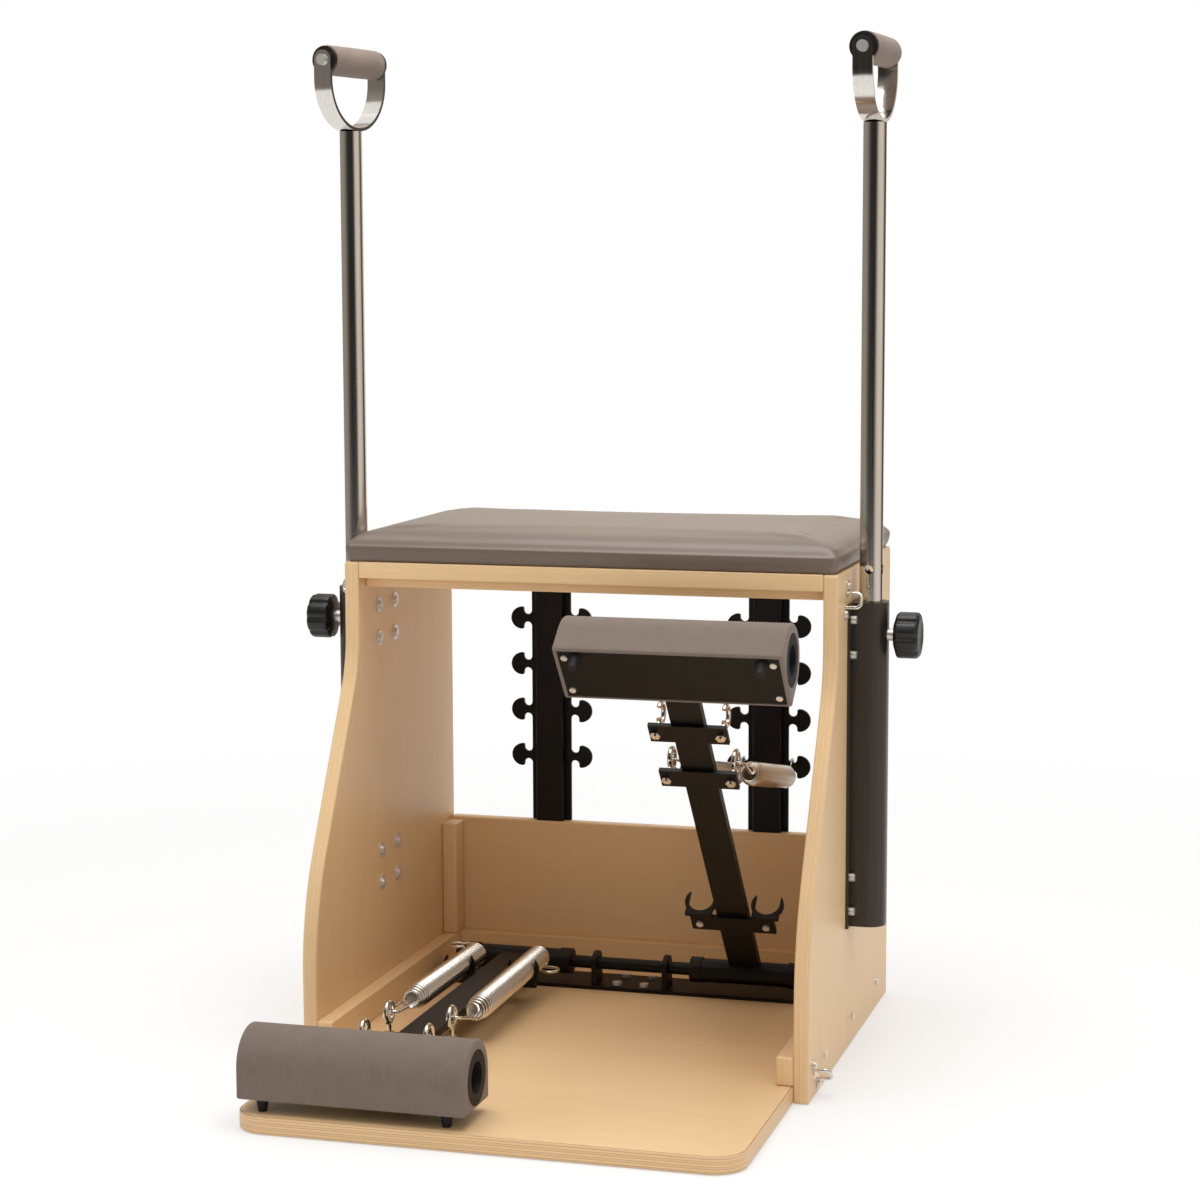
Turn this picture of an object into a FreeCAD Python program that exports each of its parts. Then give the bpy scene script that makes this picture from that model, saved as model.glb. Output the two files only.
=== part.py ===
import FreeCAD, Part
import math
import os
import re
import Sketcher
from FreeCAD import Placement, Rotation, Vector

os.makedirs("parts", exist_ok=True)
doc = FreeCAD.newDocument("PilatesChair")
sheet = doc.addObject("Spreadsheet::Sheet", "Sizes")

# Driving dimensions, in millimetres and degrees. The front of the chair faces -Y.
sizes = {
    "chair_width": 616,
    "base_length": 772,
    "panel_height": 590,
    "panel_thickness": 18,
    "panel_depth": 508,
    "panel_top_depth": 352,
    "lower_knee": 185,
    "upper_knee_drop": 123,
    "upper_knee": "=panel_height - upper_knee_drop",
    "lower_knee_radius": 290,
    "upper_knee_radius": 140,
    "board_thickness": 20,
    "base_corner": 38,
    "back_board_height": 188,
    "back_board_thickness": 18,
    "batten_width": 20,
    "batten_height": 34,
    "batten_screw_first": 77,
    "batten_screw_pitch": 169,
    "batten_screw_rise": 14,
    "corner_drop": 4,
    "screw_radius": 2,
    "screw_head": 4.5,
    "screw_head_height": 2.5,
    "screw_depth": 14,
    "rail_height": 13,
    "rail_depth": 34,
    "rail_setback": 24,
    "cushion_height": 44,
    "cushion_bulge": 3,
    "pedal_shift": 3,
    "pedal_spread": "=chair_width / 4 - pedal_shift",
    "post_shift": 2,
    "post_spread": "=pedal_spread - post_shift",
    "post_width": 37,
    "post_depth": 12,
    "post_wall": 3,
    "hook_plate_width": 54,
    "hook_plate_thickness": 4,
    "post_length": "=panel_height - 2 * board_thickness - back_board_height",
    "hook_first_share": 0.2403,
    "hook_pitch_share": 0.1713,
    "hook_first": "=post_length * hook_first_share",
    "hook_pitch": "=post_length * hook_pitch_share",
    "hook_gap": 11.5,
    "hook_head_radius": 15,
    "hook_neck": 10,
    "hook_lip": 2.5,
    "shaft_setback": 142.5,
    "shaft_rise": 31,
    "shaft_radius": 8,
    "pivot_plate_front": 20,
    "pivot_plate_depth": 67,
    "pivot_plate_thickness": 5,
    "pivot_bolt_edge": 35,
    "pivot_bolt_mid": 18,
    "pivot_bolt_front": 6,
    "pivot_bolt_back": 30,
    "pivot_bolt_depth": 14,
    "inner_bearing": 47,
    "bearing_inset": 38,
    "outer_bearing": "=chair_width / 2 - panel_thickness - batten_width - bearing_inset",
    "shaft_end": 6,
    "shaft_reach": "=outer_bearing + shaft_end",
    "bearing_thickness": 6,
    "bearing_radius": 16,
    "running_gap": 0.3,
    "seat_gap": 0.2,
    "pedal_gap": 35,
    "pedal_length": "=2 * pedal_spread - pedal_gap",
    "raise_angle": 50.5,
    "sleeve_gap": 10,
    "sleeve_length": "=2 * (outer_bearing - pedal_spread - sleeve_gap)",
    "sleeve_radius": 15,
    "collar_radius": 16.5,
    "collar_length": 15,
    "arm_width": 40,
    "arm_thickness": 10,
    "roll_reach": 579,
    "roll_rise": 18,
    "roll_radius": 42,
    "roll_flat": 16,
    "core_radius": 22,
    "core_bore": 18,
    "flange_radius": 31,
    "flange_thickness": 4,
    "foot_plate_width": 74,
    "plate_margin": 5.5,
    "foot_plate_length": "=pedal_length - 2 * plate_margin",
    "foot_plate_thickness": 3,
    "foot_plate_recess": 1,
    "saddle_width": 14,
    "saddle_length": 68,
    "spacer_start": 13,
    "spacer_depth": 22,
    "plate_screw_edge": 12.5,
    "plate_screw_x": "=pedal_length / 2 - plate_screw_edge",
    "plate_screw_out": 27,
    "plate_screw_head": 4,
    "pilot_depth": 12,
    "foot_edge": 25.5,
    "foot_x": "=pedal_length / 2 - foot_edge",
    "foot_out": 27,
    "foot_radius": 7.5,
    "foot_tip": 5,
    "bracket_length": 94,
    "bracket_depth": 28,
    "bracket_thickness": 5,
    "bracket_bolt": 2.5,
    "eye_reach": 388,
    "hook_bias": 14.8,
    "open_hook_reach": "=(eye_reach + roll_reach) / 2 - hook_bias",
    "eye_x": 39,
    "eye_rise": 27,
    "eye_radius": 12,
    "eye_wire": 3,
    "eye_stem": 2.5,
    "eye_flange": 4,
    "eye_nut": 6.4,
    "eye_stud": 2,
    "open_hook_sweep": 290,
    "open_hook_start": 15,
    "rest_reach": 120,
    "rest_cradle_x": 42.5,
    "rest_cradle_rise": 17,
    "rest_cradle_radius": 15.6,
    "rest_height": 32,
    "rest_claw": 5,
    "rest_wing": 11,
    "rest_base": 17,
    "rest_foot_depth": 26,
    "coil_radius": 13.2,
    "spring_wire": 1.8,
    "coil_length": 265,
    "coil_turns": 12,
    "hook_loop": 11,
    "hook_lead": 34,
    "hook_taper": 14,
    "eye_loop": 8,
    "eye_clearance": 0.75,
    "spring_sag": 13,
    "front_lead": 16,
    "front_tail": 10,
    "side_loop": 11,
    "side_lead": 5,
    "side_lift": 4,
    "holder_low": 154,
    "holder_drop": 41,
    "holder_high": "=panel_height - holder_drop",
    "holder_setback": 254,
    "holder_width": 46,
    "holder_depth": 42.5,
    "holder_corner": 20,
    "flange_width": 78,
    "holder_wall": 3.5,
    "pole_offset": 21,
    "pole_radius": 14,
    "pole_wall": 2,
    "pole_low": 165,
    "pole_above": 526,
    "pole_high": "=panel_height + pole_above",
    "pole_hole_radius": 5.5,
    "pole_hole_pitch": 79,
    "clamp_drop": 40,
    "clamp_height": "=holder_high - clamp_drop",
    "bush_radius": 16.6,
    "bush_length": 26,
    "bolt_radius": 3,
    "bolt_row": 28.8,
    "bolt_edge": 20,
    "bolt_pair": 42,
    "yoke_radius": 60,
    "yoke_rise": 62,
    "yoke_leg": 22,
    "strap_width": 24,
    "strap_thickness": 4,
    "grip_radius": 18,
    "grip_core": 11,
    "grip_flange": 4,
    "grip_step": 1,
    "grip_screw": 3,
    "grip_screw_head": 6.7,
    "grip_screw_head_height": 3,
    "grip_screw_length": 24,
    "left_handle_turn": -12,
    "right_handle_turn": -4,
    "stem_radius": 7.5,
    "knob_radius": 28,
    "knob_length": 31,
    "knob_gap": 8,
    "knob_cap": 9,
    "knob_stud": 4,
    "loop_reach": 21,
    "loop_half": 9,
    "loop_wire": 2.2,
    "tab_spot": 18,
    "tab_thickness": 2,
    "tab_inset": 3,
    "tab_end": 7,
    "tab_half": 5.5,
    "upper_loop_setback": 47.5,
    "upper_loop_drop": 35,
    "upper_loop_lean": 28,
    "lower_loop_setback": 37,
    "lower_loop_rise": 26.5,
    "lower_loop_lean": -44,
}
for row, (name, value) in enumerate(sizes.items(), 1):
    sheet.set(f"A{row}", name)
    sheet.set(f"B{row}", str(value))
    sheet.setAlias(f"B{row}", name)
doc.recompute()

parts = []
back = "base_length / 2"
inside = "(chair_width / 2 - panel_thickness)"
seat_low = "(panel_height - board_thickness)"
shaft_y = "(base_length / 2 - shaft_setback)"
shaft_z = "(board_thickness + shaft_rise)"
post_foot = "(board_thickness + back_board_height)"
holder_y = "(base_length / 2 - holder_setback)"
grip_z = "(pole_high + yoke_rise + yoke_leg)"


def named(text):
    return re.sub(r"[a-z]\w+", lambda word: "Sizes." + word.group(), text)


def val(text):
    return float(sheet.evalExpression(text))


def tie(thing, prop, text):
    thing.setExpression(prop, named(text))


def place(thing, at=("0", "0", "0"), axis=(0, 0, 1), turn="0"):
    spot = Vector(*[val(text) for text in at])
    thing.Placement = Placement(spot, Rotation(Vector(*axis), val(turn)))
    for letter, text in zip("xyz", at):
        tie(thing, "Placement.Base." + letter, text)
    thing.setExpression("Placement.Rotation.Angle", "(" + named(turn) + ") * 1 deg")
    return thing


def keep(label, thing):
    thing.Label = label
    parts.append(thing)
    return thing


def block(low, size):
    solid = doc.addObject("Part::Box", "block")
    for prop, text in zip(("Length", "Width", "Height"), size):
        tie(solid, prop, text)
    return place(solid, low)


def rod(radius, length, start, along="z"):
    solid = doc.addObject("Part::Cylinder", "rod")
    tie(solid, "Radius", radius)
    tie(solid, "Height", length)
    axis, turn = {"x": ((0, 1, 0), "90"), "y": ((1, 0, 0), "-90"), "z": ((0, 0, 1), "0")}[along]
    return place(solid, start, axis, turn)


def ring(radius, wire, centre, axis=(1, 0, 0), turn="0", sweep="360"):
    solid = doc.addObject("Part::Torus", "ring")
    tie(solid, "Radius1", radius)
    tie(solid, "Radius2", wire)
    tie(solid, "Angle3", sweep)
    return place(solid, centre, axis, turn)


def taper(low_radius, high_radius, length, start):
    solid = doc.addObject("Part::Cone", "taper")
    tie(solid, "Radius1", low_radius)
    tie(solid, "Radius2", high_radius)
    tie(solid, "Height", length)
    return place(solid, start)


def hexagon(radius, length, start):
    solid = doc.addObject("Part::Prism", "hexagon")
    solid.Polygon = 6
    tie(solid, "Circumradius", radius)
    tie(solid, "Height", length)
    return place(solid, start)


def join(*solids):
    result = doc.addObject("Part::MultiFuse", "join")
    result.Shapes = list(solids)
    return result


def cut(base, *tools):
    result = doc.addObject("Part::Cut", "cut")
    result.Base = base
    result.Tool = tools[0] if len(tools) == 1 else join(*tools)
    return result


def group(*solids):
    result = doc.addObject("Part::Compound", "group")
    result.Links = list(solids)
    return result


def new_body(label):
    return keep(label, doc.addObject("PartDesign::Body", label))


def drawing_on(body, role, lift="0"):
    plane = next(feature for feature in body.Origin.OriginFeatures if feature.Role == role)
    drawing = body.newObject("Sketcher::SketchObject", "drawing")
    drawing.AttachmentSupport = [(plane, "")]
    drawing.MapMode = "FlatFace"
    tie(drawing, "AttachmentOffset.Base.z", lift)
    return drawing


def dimension(drawing, kind, which, end, text):
    number = drawing.addConstraint(Sketcher.Constraint(kind, -1, 1, which, end, val(text)))
    tie(drawing, f"Constraints[{number}]", text)


def outline(drawing, corners):
    spots = [Vector(val(across), val(up), 0) for across, up in corners]
    first = drawing.GeometryCount
    count = len(spots)
    for i in range(count):
        drawing.addGeometry(Part.LineSegment(spots[i], spots[(i + 1) % count]), False)
    for i in range(count):
        drawing.addConstraint(Sketcher.Constraint("Coincident", first + i, 2, first + (i + 1) % count, 1))
    for i, (across, up) in enumerate(corners):
        dimension(drawing, "DistanceX", first + i, 1, across)
        dimension(drawing, "DistanceY", first + i, 1, up)


def circle(drawing, across, up, radius):
    spot = Vector(val(across), val(up), 0)
    which = drawing.addGeometry(Part.Circle(spot, Vector(0, 0, 1), val(radius)), False)
    dimension(drawing, "DistanceX", which, 3, across)
    dimension(drawing, "DistanceY", which, 3, up)
    number = drawing.addConstraint(Sketcher.Constraint("Radius", which, val(radius)))
    tie(drawing, f"Constraints[{number}]", radius)


def pad(body, drawing, length, side="One side", other_way=False):
    feature = body.newObject("PartDesign::Pad", "pad")
    feature.Profile = drawing
    feature.SideType = side
    feature.Reversed = other_way
    tie(feature, "Length", length)
    doc.recompute()
    return feature


def pocket(body, drawing, length, side="Symmetric", other_way=False):
    feature = body.newObject("PartDesign::Pocket", "pocket")
    feature.Profile = drawing
    feature.SideType = side
    feature.Reversed = other_way
    tie(feature, "Length", length)
    doc.recompute()
    return feature


def rounded(body, base, radius, spots):
    # Rounds the edges whose middle lies on one of the spots, given in the body's own axes.
    wanted = []
    for number, edge in enumerate(base.Shape.Edges, 1):
        middle = edge.BoundBox.Center
        for spot in spots:
            if all(text is None or abs(middle[i] - val(text)) < 0.01 for i, text in enumerate(spot)):
                wanted.append(f"Edge{number}")
    feature = body.newObject("PartDesign::Fillet", "rounded")
    feature.Base = (base, wanted)
    tie(feature, "Radius", radius)
    doc.recompute()
    return feature


# Spots that pieces share: holder bolts and batten screws, from the back edge and the floor.
bolt_heights = [
    "holder_low + bolt_edge",
    "holder_low + bolt_edge + bolt_pair",
    "holder_high - bolt_edge - bolt_pair",
    "holder_high - bolt_edge",
]
bolt_rows = ["-bolt_row", "bolt_row"]
batten_screws = [f"-batten_screw_first - {step} * batten_screw_pitch" for step in range(3)]
screw_height = "(board_thickness + batten_screw_rise)"
# Band loops: middle of each loop from the back edge and the floor, and its lean from the vertical.
band_loops = [
    ("upper_loop_setback - panel_top_depth", "panel_height - upper_loop_drop", "upper_loop_lean"),
    ("lower_loop_setback - panel_depth", "lower_loop_rise", "lower_loop_lean"),
]
hole_slack = "bolt_radius + seat_gap"
pilot = "screw_radius + seat_gap"
bracket_hole = "bracket_bolt + seat_gap"


def tab_spots():
    for across, up, lean in band_loops:
        turn = math.radians(val(lean))
        for side in (-1, 1):
            reach = side * val("tab_spot")
            yield f"{across} + {reach * math.sin(turn):.4f}", f"{up} + {reach * math.cos(turn):.4f}"


def side_panel(label, x):
    body = new_body(label)
    drawing = drawing_on(body, "YZ_Plane")
    outline(drawing, [
        ("-panel_depth", "0"),
        ("0", "0"),
        ("0", "panel_height"),
        ("-panel_top_depth", "panel_height"),
        ("-panel_top_depth", "upper_knee"),
        ("-panel_depth", "lower_knee"),
    ])
    slab = pad(body, drawing, "panel_thickness")
    slab = rounded(body, slab, "lower_knee_radius", [(None, "-panel_depth", "lower_knee")])
    rounded(body, slab, "upper_knee_radius", [(None, "-panel_top_depth", "upper_knee")])
    holes = drawing_on(body, "YZ_Plane")
    for across in bolt_rows:
        for up in bolt_heights:
            circle(holes, "-holder_setback + " + across, up, hole_slack)
    for across in batten_screws:
        circle(holes, across, screw_height, pilot)
    for across, up in tab_spots():
        circle(holes, across, up, pilot)
    pocket(body, holes, "4 * panel_thickness")
    place(body, (x, back, "0"))


side_panel("side_panel_left", "-chair_width / 2")
side_panel("side_panel_right", "chair_width / 2 - panel_thickness")

# Pivot bolts stand in two rows on the pivot plate.
pivot_bolts = [
    (x, y)
    for x in (
        "pivot_bolt_edge - " + inside,
        "-pivot_bolt_mid",
        "pivot_bolt_mid",
        inside + " - pivot_bolt_edge",
    )
    for y in ("-pivot_bolt_front", "pivot_plate_depth - pivot_bolt_back")
]

base_board = new_body("base_board")
base_drawing = drawing_on(base_board, "XY_Plane")
outline(base_drawing, [
    ("-" + inside, "-base_length / 2"),
    (inside, "-base_length / 2"),
    (inside, back),
    ("-" + inside, back),
])
base_slab = pad(base_board, base_drawing, "board_thickness")
rounded(base_board, base_slab, "base_corner", [
    ("-" + inside, "-base_length / 2", None),
    (inside, "-base_length / 2", None),
])
base_holes = drawing_on(base_board, "XY_Plane", "board_thickness")
for across, along in pivot_bolts:
    circle(base_holes, across, f"{shaft_y} + {along}", hole_slack)
pocket(base_board, base_holes, "pivot_bolt_depth", "One side")

keep("seat_board", block(
    ("-" + inside, back + " - panel_top_depth", seat_low),
    ("2 * " + inside, "panel_top_depth", "board_thickness"),
))
keep("front_rail", block(
    ("-" + inside, back + " - panel_top_depth + rail_setback", seat_low + " - rail_height"),
    ("2 * " + inside, "rail_depth", "rail_height"),
))
keep("back_board", block(
    ("-" + inside, back + " - back_board_thickness", "board_thickness"),
    ("2 * " + inside, "back_board_thickness", "back_board_height"),
))

# Side battens carry the panel screws. The rear batten lies between them.
for side, low, start in (
    ("left", "-" + inside, "-" + inside),
    ("right", inside + " - batten_width", inside + " - screw_depth"),
):
    plank = block(
        (low, back + " - panel_depth", "board_thickness"),
        ("batten_width", "panel_depth - back_board_thickness", "batten_height"),
    )
    bores = [
        rod(pilot, "screw_depth", (start, f"{back} + {along}", screw_height), "x")
        for along in batten_screws
    ]
    keep("base_batten_" + side, cut(plank, *bores))
keep("base_batten_rear", block(
    ("-" + inside + " + batten_width", back + " - back_board_thickness - batten_width", "board_thickness"),
    ("2 * " + inside + " - 2 * batten_width", "batten_width", "batten_height"),
))
corner_low = "(board_thickness + batten_height)"
keep("corner_battens", group(*[
    block(
        (low, back + " - back_board_thickness - batten_height", corner_low),
        ("batten_width", "batten_height", "back_board_height - batten_height - corner_drop"),
    )
    for low in ("-" + inside, inside + " - batten_width")
]))


def soft_ring(inset, corner, height):
    # A rectangle with round corners, drawn in from the panels' outer faces by the inset.
    half = val("chair_width / 2") - inset
    deep = val("panel_top_depth / 2") - inset
    edges = []
    quarter = [(1, -1, 1, 0), (1, 1, 0, 1), (-1, 1, -1, 0), (-1, -1, 0, -1)]
    spots = []
    for sx, sy, ax, ay in quarter:
        centre = Vector(sx * (half - corner), sy * (deep - corner), height)
        first = centre + Vector(sx * corner * (1 - abs(ax)), sy * corner * abs(ax), 0)
        last = centre + Vector(sx * corner * abs(ax), sy * corner * (1 - abs(ax)), 0)
        middle = centre + Vector(sx, sy, 0) * (corner * math.sqrt(0.5))
        spots.append((first, middle, last))
    for i, (first, middle, last) in enumerate(spots):
        edges.append(Part.Arc(first, middle, last).toShape())
        edges.append(Part.makeLine(last, spots[(i + 1) % 4][0]))
    return Part.Wire(edges)


# The cushion stands on the seat board and the panels' top edges. Its sides swell and its top is crowned.
rise = val("cushion_height")
swell = val("cushion_bulge")
layers = [
    (1.5, 9, 0),
    (-0.5 * swell, 12, 0.12),
    (-swell, 14, 0.38),
    (-0.6 * swell, 15, 0.62),
    (2.5, 17, 0.78),
    (9, 19, 0.875),
    (22, 23, 0.935),
    (55, 30, 0.98),
    (110, 38, 1),
]
cushion = doc.addObject("Part::Feature", "seat_cushion")
rings = [soft_ring(inset, corner, rise * share) for inset, corner, share in layers]
cushion.Shape = Part.makeLoft(rings, True, True)
place(keep("seat_cushion", cushion), ("0", back + " - panel_top_depth / 2", "panel_height"))


def upright(side, x):
    channel = new_body("post_" + side)
    drawing = drawing_on(channel, "XY_Plane")
    outline(drawing, [
        ("-post_width / 2", "0"),
        ("-post_width / 2", "-post_depth"),
        ("post_width / 2", "-post_depth"),
        ("post_width / 2", "0"),
        ("post_width / 2 - post_wall", "0"),
        ("post_width / 2 - post_wall", "post_wall - post_depth"),
        ("post_wall - post_width / 2", "post_wall - post_depth"),
        ("post_wall - post_width / 2", "0"),
    ])
    shell = pad(channel, drawing, f"{seat_low} - {post_foot}")
    rounded(channel, shell, "post_wall * 0.7", [
        ("-post_width / 2", "-post_depth", None),
        ("post_width / 2", "-post_depth", None),
    ])
    place(channel, (x, back + " - hook_plate_thickness", post_foot))
    plate = new_body("hook_plate_" + side)
    drawing = drawing_on(plate, "XZ_Plane")
    outline(drawing, [
        ("-hook_plate_width / 2", "0"),
        ("hook_plate_width / 2", "0"),
        ("hook_plate_width / 2", f"{seat_low} - {post_foot}"),
        ("-hook_plate_width / 2", f"{seat_low} - {post_foot}"),
    ])
    pad(plate, drawing, "hook_plate_thickness")
    hooks = drawing_on(plate, "XZ_Plane")
    for way in (-1, 1):
        mushroom(hooks, way)
    heads = pad(plate, hooks, "hook_plate_thickness")
    row = plate.newObject("PartDesign::LinearPattern", "hook_row")
    row.Originals = [heads]
    row.Direction = (hooks, ["V_Axis"])
    tie(row, "Length", "3 * hook_pitch")
    row.Occurrences = 4
    plate.Tip = row
    doc.recompute()
    place(plate, (x, back, post_foot))


def mushroom(drawing, way):
    # One hook: a waisted neck between two round gaps, and a half-round head with softened lips.
    edge = val("hook_plate_width / 2")
    gap = val("hook_gap / 2")
    neck = val("hook_neck / 2")
    lip = val("hook_lip")
    big = val("hook_head_radius")
    up = val("hook_first")

    def spot(across, height):
        return Vector(way * across, up + height, 0)

    def bend(first, middle, last):
        return Part.Arc(spot(*first), spot(*middle), spot(*last))

    inner = edge + 2 * gap
    slant = lip * math.sqrt(0.5)
    top = neck + gap
    centre = inner + lip
    half = [
        Part.LineSegment(spot(edge - 2, -top), spot(edge, -top)),
        bend((edge, -top), (edge + gap, -neck), (inner, -top)),
        Part.LineSegment(spot(inner, -top), spot(inner, lip - big)),
        bend((inner, lip - big), (centre - slant, lip - big - slant), (centre, -big)),
        bend((centre, -big), (centre + big, 0), (centre, big)),
        bend((centre, big), (centre - slant, big - lip + slant), (inner, big - lip)),
        Part.LineSegment(spot(inner, big - lip), spot(inner, top)),
        bend((inner, top), (edge + gap, neck), (edge, top)),
        Part.LineSegment(spot(edge, top), spot(edge - 2, top)),
        Part.LineSegment(spot(edge - 2, top), spot(edge - 2, -top)),
    ]
    for line in half:
        drawing.addGeometry(line, False)


upright("left", "-post_spread")
upright("right", "post_spread")

# Cross shaft on a plate, carried by four bearing plates.
plate_top = "(board_thickness + pivot_plate_thickness)"
pivot_slab = block(
    ("1 + batten_width - " + inside, shaft_y + " - pivot_plate_front", "board_thickness"),
    ("2 * " + inside + " - 2 * batten_width - 2", "pivot_plate_depth", "pivot_plate_thickness"),
)
keep("pivot_base_plate", cut(pivot_slab, *[
    rod(hole_slack, "4 * pivot_plate_thickness",
        (x, f"{shaft_y} + {y}", "board_thickness - pivot_plate_thickness"))
    for x, y in pivot_bolts
]))
bearings = []
for x in ("-outer_bearing", "-inner_bearing", "inner_bearing", "outer_bearing"):
    upright_plate = doc.addObject("PartDesign::Body", "bearing")
    drawing = drawing_on(upright_plate, "YZ_Plane")
    outline(drawing, [
        ("-bearing_radius", plate_top + " - " + shaft_z),
        ("bearing_radius", plate_top + " - " + shaft_z),
        ("bearing_radius", "bearing_radius"),
        ("-bearing_radius", "bearing_radius"),
    ])
    cheek = pad(upright_plate, drawing, "bearing_thickness", "Symmetric")
    rounded(upright_plate, cheek, "bearing_radius * 0.98", [
        (None, "-bearing_radius", "bearing_radius"),
        (None, "bearing_radius", "bearing_radius"),
    ])
    hole = drawing_on(upright_plate, "YZ_Plane")
    circle(hole, "0", "0", "shaft_radius + seat_gap")
    pocket(upright_plate, hole, "4 * bearing_thickness")
    bearings.append(place(upright_plate, (x, shaft_y, shaft_z)))
keep("pivot_bearings", group(*bearings))
keep("pivot_shaft", rod("shaft_radius", "2 * shaft_reach", ("-shaft_reach", shaft_y, shaft_z), "x"))


def foot_bolt(x, y):
    return join(
        rod("2 * bolt_radius", "bolt_radius + 1", (x, f"{shaft_y} + {y}", plate_top)),
        rod("bolt_radius", "pivot_plate_thickness + pivot_bolt_depth",
            (x, f"{shaft_y} + {y}", "board_thickness + 2 - pivot_bolt_depth")),
    )


def holder(side, x, turn):
    body = new_body("pole_holder_" + side)
    drawing = drawing_on(body, "XY_Plane")
    outline(drawing, [
        ("0", "-flange_width / 2"),
        ("holder_wall", "-flange_width / 2"),
        ("holder_wall", "-holder_width / 2"),
        ("holder_depth", "-holder_width / 2"),
        ("holder_depth", "holder_width / 2"),
        ("holder_wall", "holder_width / 2"),
        ("holder_wall", "flange_width / 2"),
        ("0", "flange_width / 2"),
    ])
    bar = pad(body, drawing, "holder_high - holder_low")
    rounded(body, bar, "holder_corner", [
        ("holder_depth", "-holder_width / 2", None),
        ("holder_depth", "holder_width / 2", None),
    ])
    bore = drawing_on(body, "XY_Plane")
    circle(bore, "pole_offset", "0", "bush_radius + running_gap")
    pocket(body, bore, "3 * holder_high")
    holes = drawing_on(body, "YZ_Plane")
    for across in bolt_rows:
        for up in bolt_heights:
            circle(holes, across, up + " - holder_low", hole_slack)
    pocket(body, holes, "4 * holder_wall")
    port = drawing_on(body, "YZ_Plane", "pole_offset")
    circle(port, "0", "clamp_height - holder_low", "stem_radius + running_gap")
    pocket(body, port, "2 * holder_depth", "One side", True)
    place(body, (x, holder_y, "holder_low"), (0, 0, 1), turn)


holder("left", "-chair_width / 2", "180")
holder("right", "chair_width / 2", "0")


def through_bolt(x, way, across, up):
    # Washer and low stepped head inside the panel, nut outside the holder's flange.
    middle = (holder_y + " + " + across, up)
    nut = "2 * bolt_radius"
    washer = "bolt_radius / 2"
    crown = "bolt_radius"
    grip = "(panel_thickness + holder_wall)"
    if way > 0:
        starts = [
            f"{x} - panel_thickness - {washer}",
            f"{x} - panel_thickness - {washer} - {crown} / 2",
            f"{x} - panel_thickness - {washer} - {crown}",
            x + " + holder_wall",
        ]
        shank = f"{x} - panel_thickness - 2"
    else:
        starts = [
            x + " + panel_thickness",
            f"{x} + panel_thickness + {washer}",
            f"{x} + panel_thickness + {washer}",
            f"{x} - holder_wall - {nut}",
        ]
        shank = f"{x} - holder_wall - 2"
    return join(
        rod("3.3 * bolt_radius", washer, (starts[0],) + middle, "x"),
        rod("1.9 * bolt_radius", crown + " / 2", (starts[1],) + middle, "x"),
        rod("1.4 * bolt_radius", crown, (starts[2],) + middle, "x"),
        rod("1.7 * bolt_radius", nut, (starts[3],) + middle, "x"),
        rod("bolt_radius", grip + " + 4", (shank,) + middle, "x"),
    )


machine_bolts = [foot_bolt(x, y) for x, y in pivot_bolts]
machine_bolts += [
    through_bolt(x, way, across, up)
    for x, way in (("-chair_width / 2", -1), ("chair_width / 2", 1))
    for across in bolt_rows
    for up in bolt_heights
]
keep("machine_bolts", group(*machine_bolts))


def wood_screw(x, way, along, up, lift, length):
    # A round head that stands on the surface, and a plain shank into the wood.
    head = x if way > 0 else x + " - screw_head_height"
    head = head + " + " + lift if way > 0 else head + " - " + lift
    shank = f"{x} - ({length})" if way > 0 else x + " - 1"
    return join(
        rod("screw_head", "screw_head_height", (head, along, up), "x"),
        rod("screw_radius", length + " + 1", (shank, along, up), "x"),
    )


screws = []
for x, way in (("-chair_width / 2", -1), ("chair_width / 2", 1)):
    for along in batten_screws:
        length = "panel_thickness + screw_depth - 4"
        screws.append(wood_screw(x, way, f"{back} + {along}", screw_height, "0", length))
    for across, up in tab_spots():
        screws.append(wood_screw(x, way, f"{back} + {across}", up, "tab_thickness", "screw_depth"))
keep("panel_screws", group(*screws))


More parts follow.
